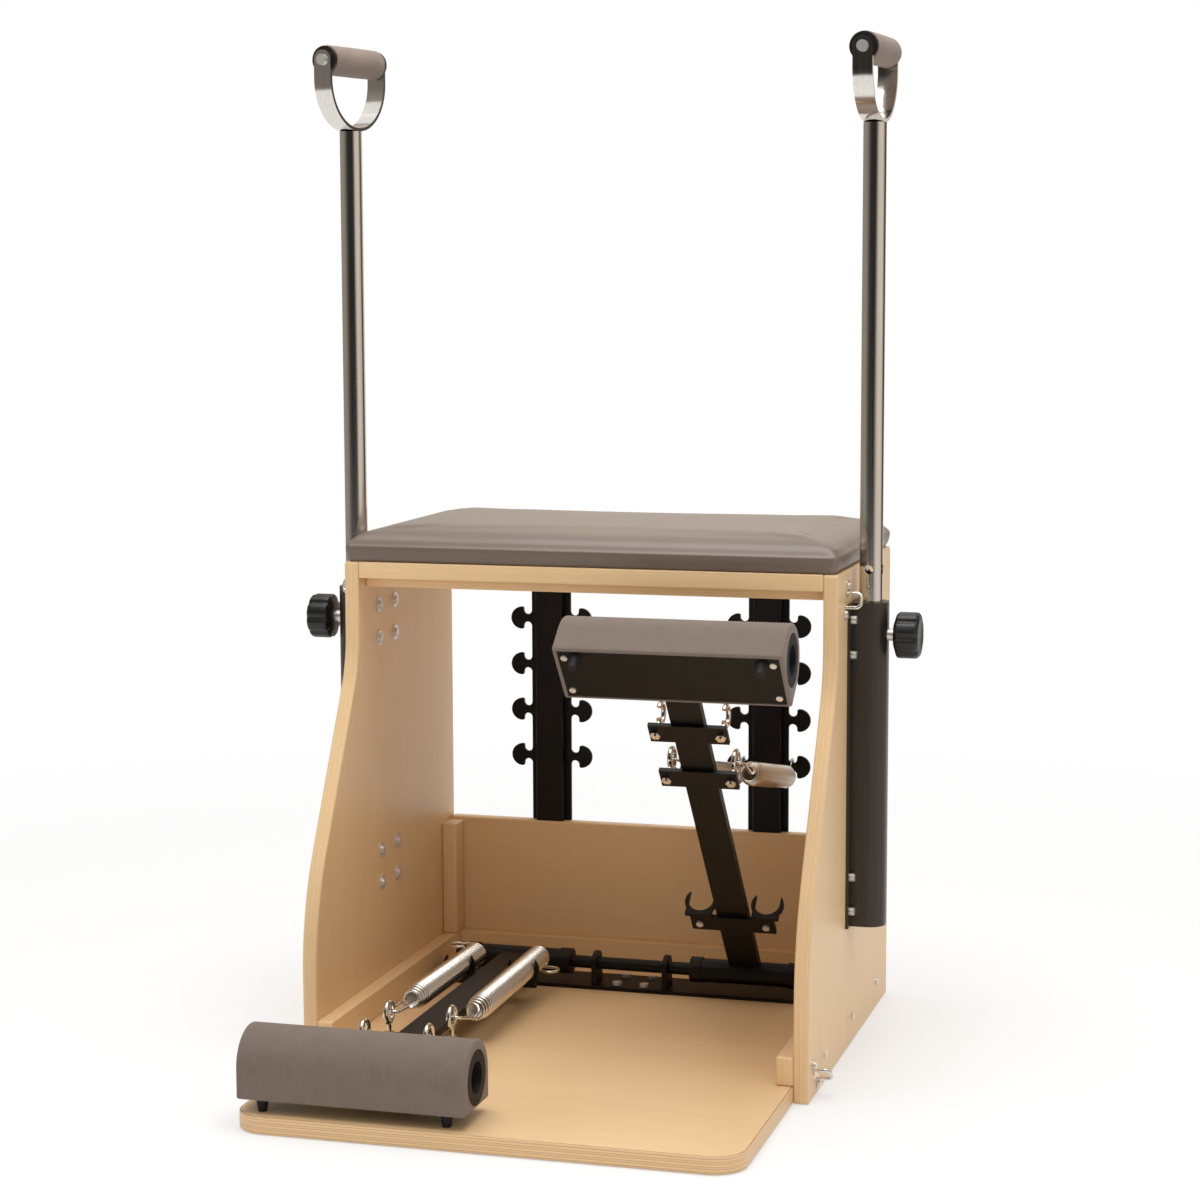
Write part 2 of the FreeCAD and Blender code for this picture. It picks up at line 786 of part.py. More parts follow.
def band_loop(x, way, across, up, lean):
    # A bent wire staple whose two feet end in flat tabs, each held by one screw.
    body = doc.addObject("PartDesign::Body", "band_loop")
    path = drawing_on(body, "XZ_Plane")
    half = val("loop_half")
    reach = val("loop_reach - loop_wire")
    bend = half * 0.7
    low = val("tab_thickness / 2")
    corner = bend * (1 - math.sqrt(0.5))
    lines = [
        Part.LineSegment(Vector(-half, low, 0), Vector(-half, reach - bend, 0)),
        Part.Arc(
            Vector(-half, reach - bend, 0),
            Vector(-half + corner, reach - corner, 0),
            Vector(-half + bend, reach, 0),
        ),
        Part.LineSegment(Vector(-half + bend, reach, 0), Vector(half - bend, reach, 0)),
        Part.Arc(
            Vector(half - bend, reach, 0),
            Vector(half - corner, reach - corner, 0),
            Vector(half, reach - bend, 0),
        ),
        Part.LineSegment(Vector(half, reach - bend, 0), Vector(half, low, 0)),
    ]
    for line in lines:
        path.addGeometry(line, False)
    section = drawing_on(body, "XY_Plane", "tab_thickness / 2")
    circle(section, "-loop_half", "0", "loop_wire")
    wire = body.newObject("PartDesign::AdditivePipe", "wire")
    wire.Profile = section
    wire.Spine = path
    doc.recompute()
    tabs = drawing_on(body, "XY_Plane")
    for side in ("-", ""):
        inner = f"{side}(loop_half - tab_inset)"
        outer = f"{side}(tab_spot + tab_end)"
        outline(tabs, [
            (inner, "-tab_half"), (outer, "-tab_half"), (outer, "tab_half"), (inner, "tab_half")
        ])
    plates = pad(body, tabs, "tab_thickness")
    rounded(body, plates, "0.8 * tab_half", [
        (f"{side}(tab_spot + tab_end)", edge, None)
        for side in ("-", "")
        for edge in ("-tab_half", "tab_half")
    ])
    holes = drawing_on(body, "XY_Plane")
    for side in ("-", ""):
        circle(holes, side + "tab_spot", "0", pilot)
    pocket(body, holes, "6 * tab_thickness")
    spot = Vector(val(x), val(f"{back} + {across}"), val(up))
    outward = Rotation(Vector(0, way, 0), 90)
    body.Placement = Placement(spot, Rotation(Vector(1, 0, 0), -val(lean)) * outward)
    for letter, text in zip("xyz", (x, f"{back} + {across}", up)):
        tie(body, "Placement.Base." + letter, text)
    return body


keep("band_loops", group(*[
    band_loop(x, way, *loop)
    for x, way in (("-chair_width / 2", -1), ("chair_width / 2", 1))
    for loop in band_loops
]))


def biarc(first, heading, last, finish):
    # Two arcs that meet smoothly, from one spot and heading to the next.
    gap = last - first
    turn = 2 * (1 - heading.dot(finish))
    slope = gap.dot(heading + finish)
    if turn < 1e-9:
        if gap.cross(heading).Length < 1e-6 * gap.Length:
            return [Part.makeLine(first, last)]
        reach = gap.dot(gap) / (4 * gap.dot(finish))
    else:
        reach = (-slope + math.sqrt(slope ** 2 + turn * gap.dot(gap))) / turn
    near = first + heading * reach
    far = last - finish * reach
    middle = (near + far) * 0.5
    return [bow(first, near, middle), bow(middle, far, last)]


def bow(first, crossing, last):
    # The arc that leaves its first spot toward the crossing and arrives at its last from it.
    chord = last - first
    half = chord.Length / 2
    lean = crossing - (first + last) * 0.5
    if lean.Length < 1e-6:
        return Part.makeLine(first, last)
    side = (crossing - first).Length
    rise = half * math.tan(0.5 * math.acos(min(1, half / side)))
    top = (first + last) * 0.5 + lean * (rise / lean.Length)
    return Part.Arc(first, top, last).toShape()


def spring_stations(reach, lift):
    # Spots and headings along one wire: rear hook, coil and long front loop. The axis is +Z, and the
    # middle of the eye's ring lies at the reach, lifted off the axis. A spring put away has no lift.
    wide = val("coil_radius")
    hook = val("hook_loop")
    lead = val("hook_lead")
    eye = val("eye_loop")
    turns = int(val("coil_turns"))
    coil = val("coil_length")
    stations = []
    if lift:
        side = math.copysign(1, lift)
        for degrees in (-125, -60, 0, 45, 90):
            turn = math.radians(degrees)
            stations.append((
                Vector(0, lift + side * hook * math.sin(turn), -hook * math.cos(turn)),
                Vector(0, side * math.cos(turn), math.sin(turn)),
            ))
        stations.append((Vector(0, side * hook, val("hook_lead - hook_taper")), Vector(0, 0, 1)))
        begin = side * math.pi / 2
    else:
        low = val("hook_lead + side_lift")
        side = wide + val("side_lead")
        curl = val("side_loop")
        stations += [
            (Vector(side, -wide, low + 2 * curl), Vector(1, 0, 0)),
            (Vector(side + curl, -wide, low + curl), Vector(0, 0, -1)),
            (Vector(side, -wide, low), Vector(-1, 0, 0)),
            (Vector(0, -wide, low), Vector(-1, 0, 0)),
        ]
        begin = -math.pi / 2
    quarters = 4 * turns
    if begin < 0:
        quarters -= 2
    pitch = coil / turns
    for step in range(1, quarters + 1):
        turn = begin - step * math.pi / 2
        share = step / quarters
        ends = min(1, 0.72 + 3 * min(share, 1 - share))
        spot = Vector(wide * ends * math.cos(turn), wide * ends * math.sin(turn), lead + coil * share)
        heading = Vector(math.sin(turn), -math.cos(turn), pitch / (2 * math.pi * wide))
        stations.append((spot, heading.normalize()))
    foot = Vector(0, 0, val("hook_lead + coil_length + front_lead"))
    ring_middle = Vector(0, lift, reach)
    lean = (ring_middle - foot).normalize()
    bend = ring_middle - lean * val("eye_radius - eye_wire - spring_wire - eye_clearance + eye_loop")
    wing = Vector(eye, 0, 0)
    stations += [
        (foot + wing, lean),
        (bend + wing, lean),
        (bend + lean * eye, Vector(-1, 0, 0)),
        (bend - wing, -lean),
        (foot - wing + lean * val("front_tail"), -lean),
    ]
    return stations


def spring(reach, lift):
    stations = spring_stations(reach, lift)
    edges = []
    for (first, heading), (last, finish) in zip(stations, stations[1:]):
        edges += biarc(first, heading, last, finish)
    path = Part.Wire(edges)
    thin = val("spring_wire")
    first, heading = stations[0]
    section = Part.Wire(Part.makePolygon([
        first + Rotation(Vector(0, 0, 1), heading).multVec(
            Vector(thin * math.cos(math.radians(60 * i)), thin * math.sin(math.radians(60 * i)), 0)
        )
        for i in range(7)
    ]))
    tube = Part.BRepOffsetAPI.MakePipeShell(path)
    tube.add(section)
    tube.build()
    tube.makeSolid()
    report_gap(path, thin)
    return tube.shape()


def report_gap(path, thin):
    # Least free space between one stretch of the wire and any other more than a turn's half away.
    spots = path.discretize(Distance=2.5)
    apart = int(12 * thin / 2.5) + 2
    nearest = min(
        (a - b).Length
        for i, a in enumerate(spots)
        for b in spots[i + apart:]
    )
    print("spring wire, least gap to itself:", round(nearest - 2 * thin, 2), "mm")


def pedal_point(x, out, rise, angle):
    turn = math.radians(angle)
    return Vector(
        x,
        val(shaft_y) - out * math.cos(turn) + rise * math.sin(turn),
        val(shaft_z) + out * math.sin(turn) + rise * math.cos(turn),
    )


neck_side = val("hook_plate_width / 2 + hook_gap / 2")
# The hook loop bears on the back of the neck.
bearing = math.sqrt(val("hook_loop - spring_wire - running_gap") ** 2 - val("hook_neck / 2") ** 2)
hook_spot = Vector(0, val(back) - bearing, val(post_foot + " + hook_first"))
eye_spot = pedal_point(0, val("eye_reach"), val("eye_rise"), val("raise_angle"))


def spring_frame(origin, axis, way, lift):
    # The coil hangs below the line from hook to eye by the lift of its two ends.
    across = Vector(way, 0, 0)
    across = (across - axis * across.dot(axis)).normalize()
    upright = axis.cross(across)
    return Placement(origin - upright * lift, Rotation(across, upright, axis, "ZXY"))


def hung_spring(label, way):
    # Runs from the lowest hook of the right upright to an eye on the raised arm.
    hook = Vector(val("post_spread") + way * neck_side, hook_spot.y, hook_spot.z)
    eye = Vector(val("pedal_spread") + way * val("eye_x"), eye_spot.y, eye_spot.z)
    axis = (eye - hook).normalize()
    reach = (eye - hook).Length
    lift = way * val("spring_sag")
    thing = doc.addObject("Part::Feature", label)
    thing.Shape = spring(reach, lift)
    thing.Placement = spring_frame(hook, axis, way, lift)
    keep(label, thing)
    foot = val("hook_lead + coil_length + front_lead")
    return foot + math.hypot(reach - foot, lift)


def stored_spring(label, way, reach):
    # Lies along the lowered left arm, from its eye to the cradle of the spring rest.
    middle = -val("pedal_spread")
    eye = pedal_point(middle + way * val("eye_x"), val("eye_reach"), val("eye_rise"), 0)
    rest = pedal_point(
        middle + way * val("rest_cradle_x"), val("rest_reach"), val("rest_cradle_rise"), 0
    )
    axis = (eye - rest).normalize()
    thing = doc.addObject("Part::Feature", label)
    thing.Shape = spring(reach, 0)
    thing.Placement = spring_frame(eye - axis * reach, axis, way, 0)
    keep(label, thing)


def pedal(side, x, angle):
    # Built with the arm lying along -Y from the shaft, then raised about the shaft by the angle.
    def settle(label, thing):
        keep(side + "_" + label, thing)
        place(thing, (x, shaft_y, shaft_z), (1, 0, 0), "-" + angle)

    roll_y = "-roll_reach"
    gap = "seat_gap"
    rest_screws = "(rest_reach - rest_foot_depth / 2)"
    cradle_spots = ("-rest_cradle_x", "rest_cradle_x")
    plate_top = "(foot_plate_thickness + foot_plate_recess - roll_flat)"
    bar = block(
        ("-arm_width / 2", roll_y, "0"),
        ("arm_width", "roll_reach", "arm_thickness"),
    )
    spacer = block(
        ("-arm_width / 2", "spacer_start - roll_reach", plate_top),
        ("arm_width", "spacer_depth", "-" + plate_top),
    )
    sleeve = rod("sleeve_radius", "sleeve_length", ("-sleeve_length / 2", "0", "0"), "x")
    collars = [
        rod("collar_radius", "collar_length", (start, "0", "0"), "x")
        for start in ("-sleeve_length / 2", "sleeve_length / 2 - collar_length")
    ]
    bore = rod("shaft_radius + running_gap", "2 * sleeve_length", ("-sleeve_length", "0", "0"), "x")
    cope = rod("core_radius + " + gap, "2 * arm_width", ("-arm_width", roll_y, "roll_rise"), "x")
    settle("arm", cut(join(bar, spacer, sleeve, *collars), bore, cope))

    tube = rod("core_radius", "pedal_length", ("-pedal_length / 2", roll_y, "roll_rise"), "x")
    discs = [
        rod("flange_radius", "flange_thickness", (start, roll_y, "roll_rise"), "x")
        for start in ("-pedal_length / 2", "pedal_length / 2 - flange_thickness")
    ]
    saddles = [
        block(
            (start, "-roll_reach - saddle_length / 2", plate_top),
            ("saddle_width", "saddle_length", "-" + plate_top),
        )
        for start in ("plate_screw_x - saddle_width / 2", "-plate_screw_x - saddle_width / 2")
    ]
    through = rod("core_bore", "2 * pedal_length", ("-pedal_length", roll_y, "roll_rise"), "x")
    corners = [
        (f"{across}plate_screw_x", f"-roll_reach + {along}plate_screw_out")
        for across in ("-", "")
        for along in ("-", "")
    ]
    pilots = [rod(pilot, "pilot_depth", spot + ("-roll_flat",)) for spot in corners]
    settle("pedal_core", cut(join(tube, *discs, *saddles), through, *pilots))

    flat = block(
        ("-pedal_length / 2", "-roll_reach - roll_radius", "-roll_flat"),
        ("pedal_length", "2 * roll_radius", "roll_flat + roll_rise"),
    )
    arch = rod("roll_radius", "pedal_length", ("-pedal_length / 2", roll_y, "roll_rise"), "x")
    hollow = rod("core_radius + " + gap, "2 * pedal_length", ("-pedal_length", roll_y, "roll_rise"), "x")
    sinks = [
        rod("flange_radius + " + gap, "2 * flange_radius", (start, roll_y, "roll_rise"), "x")
        for start in (
            "-pedal_length / 2 + flange_thickness + seat_gap - 2 * flange_radius",
            "pedal_length / 2 - flange_thickness - seat_gap",
        )
    ]
    recess = block(
        (f"-foot_plate_length / 2 - {gap}", f"-roll_reach - foot_plate_width / 2 - {gap}", "-2 * roll_flat"),
        ("foot_plate_length + 2 * " + gap, "foot_plate_width + 2 * " + gap,
         "roll_flat + foot_plate_thickness + foot_plate_recess"),
    )
    slots = [
        block(
            ("-arm_width / 2 - " + gap, "-roll_reach", "-" + gap),
            ("arm_width + 2 * " + gap, "2 * roll_radius", "arm_thickness + 2 * " + gap),
        ),
        block(
            ("-arm_width / 2 - " + gap, "spacer_start - roll_reach - " + gap, "2 - roll_flat"),
            ("arm_width + 2 * " + gap, "spacer_depth + 2 * " + gap, "roll_flat"),
        ),
    ]
    slots += [
        block(
            (f"{start} - saddle_width / 2 - {gap}", f"-roll_reach - saddle_length / 2 - {gap}",
             "2 - roll_flat"),
            (f"saddle_width + 2 * {gap}", f"saddle_length + 2 * {gap}", f"roll_flat - 2 + {gap}"),
        )
        for start in ("plate_screw_x", "-plate_screw_x")
    ]
    settle("pedal_foam", cut(join(flat, arch), hollow, recess, *sinks, *slots))

    sole = block(
        ("-foot_plate_length / 2", "-roll_reach - foot_plate_width / 2", "foot_plate_recess - roll_flat"),
        ("foot_plate_length", "foot_plate_width", "foot_plate_thickness"),
    )
    settle("pedal_plate", cut(sole, *[
        rod(pilot, "roll_flat", spot + ("-1.5 * roll_flat",)) for spot in corners
    ]))
    fixings = [
        join(
            rod("plate_screw_head", "plate_screw_head / 2",
                spot + ("foot_plate_recess - roll_flat - plate_screw_head / 2",)),
            rod("screw_radius", "pilot_depth - 1", spot + ("foot_plate_recess - roll_flat - 1",)),
        )
        for spot in corners
    ]
    settle("pedal_feet", group(*[
        taper("foot_tip", "foot_radius", f"{shaft_z} - roll_flat + foot_plate_recess - board_thickness",
              (spot, "-roll_reach - foot_out", f"board_thickness - {shaft_z}"))
        for spot in ("-foot_x", "foot_x")
    ]))

    def strap(out):
        plate = block(
            ("-bracket_length / 2", f"-{out} - bracket_depth / 2", "-bracket_thickness"),
            ("bracket_length", "bracket_depth", "bracket_thickness"),
        )
        low = "-3 * bracket_thickness"
        return cut(plate, *[
            rod(hole_slack, "4 * bracket_thickness", (spot, "-" + out, low)) for spot in ("-eye_x", "eye_x")
        ])

    foot = block(
        ("-rest_cradle_x - rest_wing", "-rest_reach", "-bracket_thickness"),
        ("2 * rest_cradle_x + 2 * rest_wing", "rest_foot_depth", "bracket_thickness"),
    )
    claws = []
    cradles = []
    far = "-rest_reach - 2 * bracket_thickness"
    for spot in cradle_spots:
        claws.append(rod("rest_cradle_radius + rest_claw", "bracket_thickness",
                         (spot, "-rest_reach - bracket_thickness", "rest_cradle_rise"), "y"))
        claws.append(block(
            (f"{spot} - rest_base", "-rest_reach - bracket_thickness", "-bracket_thickness"),
            ("2 * rest_base", "bracket_thickness", "bracket_thickness + rest_cradle_rise / 2"),
        ))
        cradles.append(rod("rest_cradle_radius", "4 * bracket_thickness",
                           (spot, far, "rest_cradle_rise"), "y"))
        cradles.append(block(
            (f"{spot} - rest_cradle_radius", far, "rest_cradle_rise"),
            ("2 * rest_cradle_radius", "4 * bracket_thickness", "rest_height"),
        ))
    pegs = [
        rod(bracket_hole, "4 * bracket_thickness", (spot, "-" + rest_screws, "-3 * bracket_thickness"))
        for spot in cradle_spots
    ]
    settle("spring_brackets", group(
        strap("eye_reach"), strap("open_hook_reach"), cut(join(foot, *claws), *cradles, *pegs)
    ))

    fixings += [
        join(
            rod("1.8 * bracket_bolt", "1.2 * bracket_bolt",
                (spot, "-" + rest_screws, "-bracket_thickness - 1.2 * bracket_bolt")),
            rod("bracket_bolt", "bracket_thickness + 0.5",
                (spot, "-" + rest_screws, "-bracket_thickness - 1")),
        )
        for spot in cradle_spots
    ]
    settle("pedal_fixings", group(*fixings))

    hooks = []
    for spot in ("-eye_x", "eye_x"):
        for out, bent in (("eye_reach", closed_ring), ("open_hook_reach", open_ring)):
            hooks.append(join(
                bent(spot, out),
                rod("eye_stem", "eye_rise - eye_radius", (spot, "-" + out, "0")),
                rod("2 * bolt_radius", "eye_flange", (spot, "-" + out, "0")),
                rod("bolt_radius", "bracket_thickness + eye_flange + eye_stud + 1",
                    (spot, "-" + out, "-bracket_thickness - eye_flange - eye_stud")),
                hexagon("eye_nut", "eye_flange", (spot, "-" + out, "-bracket_thickness - eye_flange")),
            ))
    settle("spring_eyes", group(*hooks))


def closed_ring(spot, out):
    return ring("eye_radius", "eye_wire", (spot, "-" + out, "eye_rise"), (0, 1, 0), "90")


def open_ring(spot, out):
    # A hook bent from the stem up its back and over the top, with its mouth low in front.
    bent = ring("eye_radius", "eye_wire", (spot, "-" + out, "eye_rise"), (0, 1, 0), "90", "open_hook_sweep")
    bent.setExpression("Placement.Rotation.Angle", None)
    start = Rotation(Vector(1, 0, 0), -val("open_hook_start"))
    bent.Placement = Placement(bent.Placement.Base, start * bent.Placement.Rotation)
    return bent


pedal("left", "-pedal_spread", "0")
pedal("right", "pedal_spread", "raise_angle")
hung_spring("right_spring_inner", -1)
spring_length = hung_spring("right_spring_outer", 1)
stored_spring("left_spring_outer", -1, spring_length)
stored_spring("left_spring_inner", 1, spring_length)


def handle(side, sign, turn):
    x = f"{sign}(chair_width / 2 + pole_offset)"
    outer = rod("pole_radius", "pole_high - pole_low", ("0", "0", "pole_low"))
    inner = rod("pole_radius - pole_wall", "pole_high - pole_low", ("0", "0", "pole_low - 3"))
    holes = []
    for step in ("1", "0", "-1", "-2"):
        up = f"clamp_height + {step} * pole_hole_pitch"
        holes.append(rod("pole_hole_radius", "4 * pole_radius", ("-2 * pole_radius", "0", up), "x"))
        holes.append(rod("pole_hole_radius", "4 * pole_radius", ("0", "-2 * pole_radius", up), "y"))
    pole = keep(side + "_pole", cut(outer, inner, *holes))
    place(pole, (x, holder_y, "0"), (0, 0, 1), turn)

    keep(side + "_guide_bush", group(*[
        cut(
            rod("bush_radius", "bush_length", (x, holder_y, start)),
            rod("pole_radius + running_gap", "3 * bush_length", (x, holder_y, start + " - bush_length")),
        )
        for start in ("holder_low", "holder_high - bush_length")
    ]))

    yoke = new_body(side + "_yoke")
    drawing = drawing_on(yoke, "YZ_Plane")
    outside = val("yoke_radius + strap_thickness / 2")
    within = val("yoke_radius - strap_thickness / 2")
    middle = val("pole_high + yoke_rise")
    top = val(grip_z + " + strap_width / 2")
    for line in (
        Part.Arc(Vector(-outside, middle, 0), Vector(0, middle - outside, 0), Vector(outside, middle, 0)),
        Part.LineSegment(Vector(outside, middle, 0), Vector(outside, top, 0)),
        Part.LineSegment(Vector(outside, top, 0), Vector(within, top, 0)),
        Part.LineSegment(Vector(within, top, 0), Vector(within, middle, 0)),
        Part.Arc(Vector(within, middle, 0), Vector(0, middle - within, 0), Vector(-within, middle, 0)),
        Part.LineSegment(Vector(-within, middle, 0), Vector(-within, top, 0)),
        Part.LineSegment(Vector(-within, top, 0), Vector(-outside, top, 0)),
        Part.LineSegment(Vector(-outside, top, 0), Vector(-outside, middle, 0)),
    ):
        drawing.addGeometry(line, False)
    strip = pad(yoke, drawing, "strap_width", "Symmetric")
    rounded(yoke, strip, "strap_width * 0.49", [
        (edge, leg, grip_z + " + strap_width / 2")
        for edge in ("-strap_width / 2", "strap_width / 2")
        for leg in ("-yoke_radius", "yoke_radius")
    ])
    holes = drawing_on(yoke, "XZ_Plane")
    circle(holes, "0", grip_z, "grip_screw + seat_gap")
    pocket(yoke, holes, "6 * yoke_radius")
    place(yoke, (x, holder_y, "0"), (0, 0, 1), turn)

    half = "(yoke_radius - strap_thickness / 2 - seat_gap)"
    spool = join(
        rod("grip_core", "2 * " + half, ("0", "-" + half, grip_z), "y"),
        rod("grip_radius - grip_step", "grip_flange", ("0", "-" + half, grip_z), "y"),
        rod("grip_radius - grip_step", "grip_flange", ("0", half + " - grip_flange", grip_z), "y"),
    )
    spindle = rod("grip_screw + seat_gap", "6 * yoke_radius", ("0", "-3 * yoke_radius", grip_z), "y")
    core = keep(side + "_grip_core", cut(spool, spindle))
    place(core, (x, holder_y, "0"), (0, 0, 1), turn)
    sponge = cut(
        rod("grip_radius", f"2 * {half} - 2 * grip_flange - 2 * seat_gap",
            ("0", f"seat_gap + grip_flange - {half}", grip_z), "y"),
        rod("grip_core + seat_gap", "6 * yoke_radius", ("0", "-3 * yoke_radius", grip_z), "y"),
    )
    foam = keep(side + "_grip_foam", sponge)
    place(foam, (x, holder_y, "0"), (0, 0, 1), turn)
    leg = "(yoke_radius + strap_thickness / 2)"
    screws = keep(side + "_grip_screws", group(*[
        join(
            rod("grip_screw_head", "grip_screw_head_height", ("0", head, grip_z), "y"),
            rod("grip_screw", "grip_screw_length", ("0", shank, grip_z), "y"),
        )
        for head, shank in (
            (leg, f"{leg} - grip_screw_length + 1"),
            (f"-grip_screw_head_height - {leg}", f"-1 - {leg}"),
        )
    ]))
    place(screws, (x, holder_y, "0"), (0, 0, 1), turn)


handle("left", "-", "left_handle_turn")
handle("right", "", "right_handle_turn")


def clamp(side, sign, turn):
    # The screw bears on the pole. Its knob stands clear of the holder.
    tip = "(pole_offset + pole_radius + running_gap)"
    seat = "(holder_depth + knob_gap)"
    out = f"{sign}chair_width / 2"
    stem = join(
        rod("stem_radius", f"{seat} - {tip}", (tip, "0", "0"), "x"),
        rod("knob_stud", "knob_length - knob_cap + 1", (seat + " - 2", "0", "0"), "x"),
    )
    keep(side + "_clamp_screw", stem)
    place(stem, (out, holder_y, "clamp_height"), (0, 0, 1), turn)
    body = new_body(side + "_clamp_knob")
    drawing = drawing_on(body, "XZ_Plane")
    outline(drawing, [
        (seat, "knob_stud + seat_gap"),
        (seat, "0.62 * knob_radius"),
        (seat + " + 0.12 * knob_length", "knob_radius"),
        (seat + " + 0.88 * knob_length", "knob_radius"),
        (seat + " + knob_length", "0.8 * knob_radius"),
        (seat + " + knob_length", "0"),
        (seat + " + knob_length - knob_cap", "0"),
        (seat + " + knob_length - knob_cap", "knob_stud + seat_gap"),
    ])
    turned = body.newObject("PartDesign::Revolution", "turned")
    turned.Profile = drawing
    turned.ReferenceAxis = (drawing, ["H_Axis"])
    turned.Angle = 360
    doc.recompute()
    flute = drawing_on(body, "YZ_Plane", seat + " - 1")
    circle(flute, "0", "1.14 * knob_radius", "0.24 * knob_radius")
    groove = pocket(body, flute, "knob_length + 2", "One side", True)
    lobes = body.newObject("PartDesign::PolarPattern", "lobes")
    lobes.Originals = [groove]
    lobes.Axis = (drawing, ["H_Axis"])
    lobes.Angle = 360
    lobes.Occurrences = 8
    body.Tip = lobes
    doc.recompute()
    place(body, (out, holder_y, "clamp_height"), (0, 0, 1), turn)


clamp("left", "-", "180")
clamp("right", "", "0")

doc.recompute()
for thing in doc.Objects:
    if "Invalid" in thing.State or "Error" in thing.State:
        raise RuntimeError(f"{thing.Label}: {thing.State}")
for thing in parts:
    if thing.Shape.isNull() or not thing.Shape.isValid() or not thing.Shape.Solids:
        raise RuntimeError(f"{thing.Label}: no sound solid")
    thing.Shape.exportStep(f"parts/{thing.Label}.step")
print(len(parts), "parts written")
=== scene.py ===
import bpy
import math
import numpy as np
from mathutils import Euler, Matrix


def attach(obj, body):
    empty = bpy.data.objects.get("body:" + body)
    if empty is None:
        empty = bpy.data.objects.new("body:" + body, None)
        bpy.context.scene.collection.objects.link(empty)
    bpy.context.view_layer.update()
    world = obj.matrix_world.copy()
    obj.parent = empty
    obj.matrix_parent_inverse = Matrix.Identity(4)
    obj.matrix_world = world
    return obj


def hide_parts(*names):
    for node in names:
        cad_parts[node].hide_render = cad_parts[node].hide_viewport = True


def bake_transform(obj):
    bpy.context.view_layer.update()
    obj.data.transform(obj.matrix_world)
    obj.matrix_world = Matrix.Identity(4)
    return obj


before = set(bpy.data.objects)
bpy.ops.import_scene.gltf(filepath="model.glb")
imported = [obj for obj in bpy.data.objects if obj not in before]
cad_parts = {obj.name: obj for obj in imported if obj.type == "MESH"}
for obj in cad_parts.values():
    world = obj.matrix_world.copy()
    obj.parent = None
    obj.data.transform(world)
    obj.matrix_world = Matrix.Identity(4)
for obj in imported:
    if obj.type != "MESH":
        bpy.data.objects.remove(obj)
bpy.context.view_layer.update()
mm = 0.001
print("frame loaded:", len(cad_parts), "nodes")


def toLinear(hexColour):  # sRGB hex to linear RGBA
    parts = np.array([int(hexColour[i:i + 2], 16) for i in (1, 3, 5)]) / 255
    linear = np.where(parts <= 0.04045, parts / 12.92, ((parts + 0.055) / 1.055) ** 2.4)
    return (*linear, 1.0)


def addNode(tree, kind, links=None, **settings):
    # One node: its settings, then socket values or incoming links.
    node = tree.nodes.new(kind)
    for name, value in settings.items():
        setattr(node, name, value)
    for socket, value in (links or {}).items():
        if isinstance(value, bpy.types.NodeSocket):
            tree.links.new(value, node.inputs[socket])
        else:
            node.inputs[socket].default_value = value
    return node


def newMaterial(name):
    material = bpy.data.materials.new(name)
    material.use_nodes = True
    tree = material.node_tree
    shader = tree.nodes["Principled BSDF"]
    place = addNode(tree, "ShaderNodeTexCoord")
    return material, tree, shader, place.outputs["Object"]


def blendColour(tree, share, first, second):  # share 0 gives the first colour, 1 the second
    mixer = addNode(tree, "ShaderNodeMix", data_type="RGBA")
    tree.links.new(share, mixer.inputs["Factor"])
    for socket, value in ((6, first), (7, second)):
        if isinstance(value, bpy.types.NodeSocket):
            tree.links.new(value, mixer.inputs[socket])
        else:
            mixer.inputs[socket].default_value = toLinear(value)
    return mixer.outputs[2]


def remap(tree, value, start, end, low, high):  # carries start to low and end to high, held at both
    return addNode(tree, "ShaderNodeMapRange", {
        "Value": value, "From Min": start, "From Max": end, "To Min": low, "To Max": high}).outputs[0]


def mottle(tree, value, dark, light, start=0.3, end=0.7):  # two tones by a noise value
    return blendColour(tree, remap(tree, value, start, end, 0.0, 1.0), dark, light)


def dress(tree, shader, colour, roughness, height, strength, depth, invert=False):
    # Colour, roughness and a bump go into the shader, the bump's depth in millimetres.
    bump = addNode(tree, "ShaderNodeBump", {
        "Height": height, "Strength": strength, "Distance": depth * mm}, invert=invert)
    for socket, value in (("Base Color", colour), ("Roughness", roughness), ("Normal", bump.outputs[0])):
        tree.links.new(value, shader.inputs[socket])


woodLook = {
    "face": "#EFCB99", "streak": "#DFB782", "glue": "#AC7D50", "cross": "#E1BB8C",
    "layer": 2.8, "grainWidth": 2.2, "grainLength": 90.0, "rough": (0.36, 0.54),
    "streakMost": 0.55, "driftMost": 0.35, "driftScale": (14.0, 3.0), "glueHalf": 0.07,
    "coat": 0.12, "coatRough": 0.3,
}


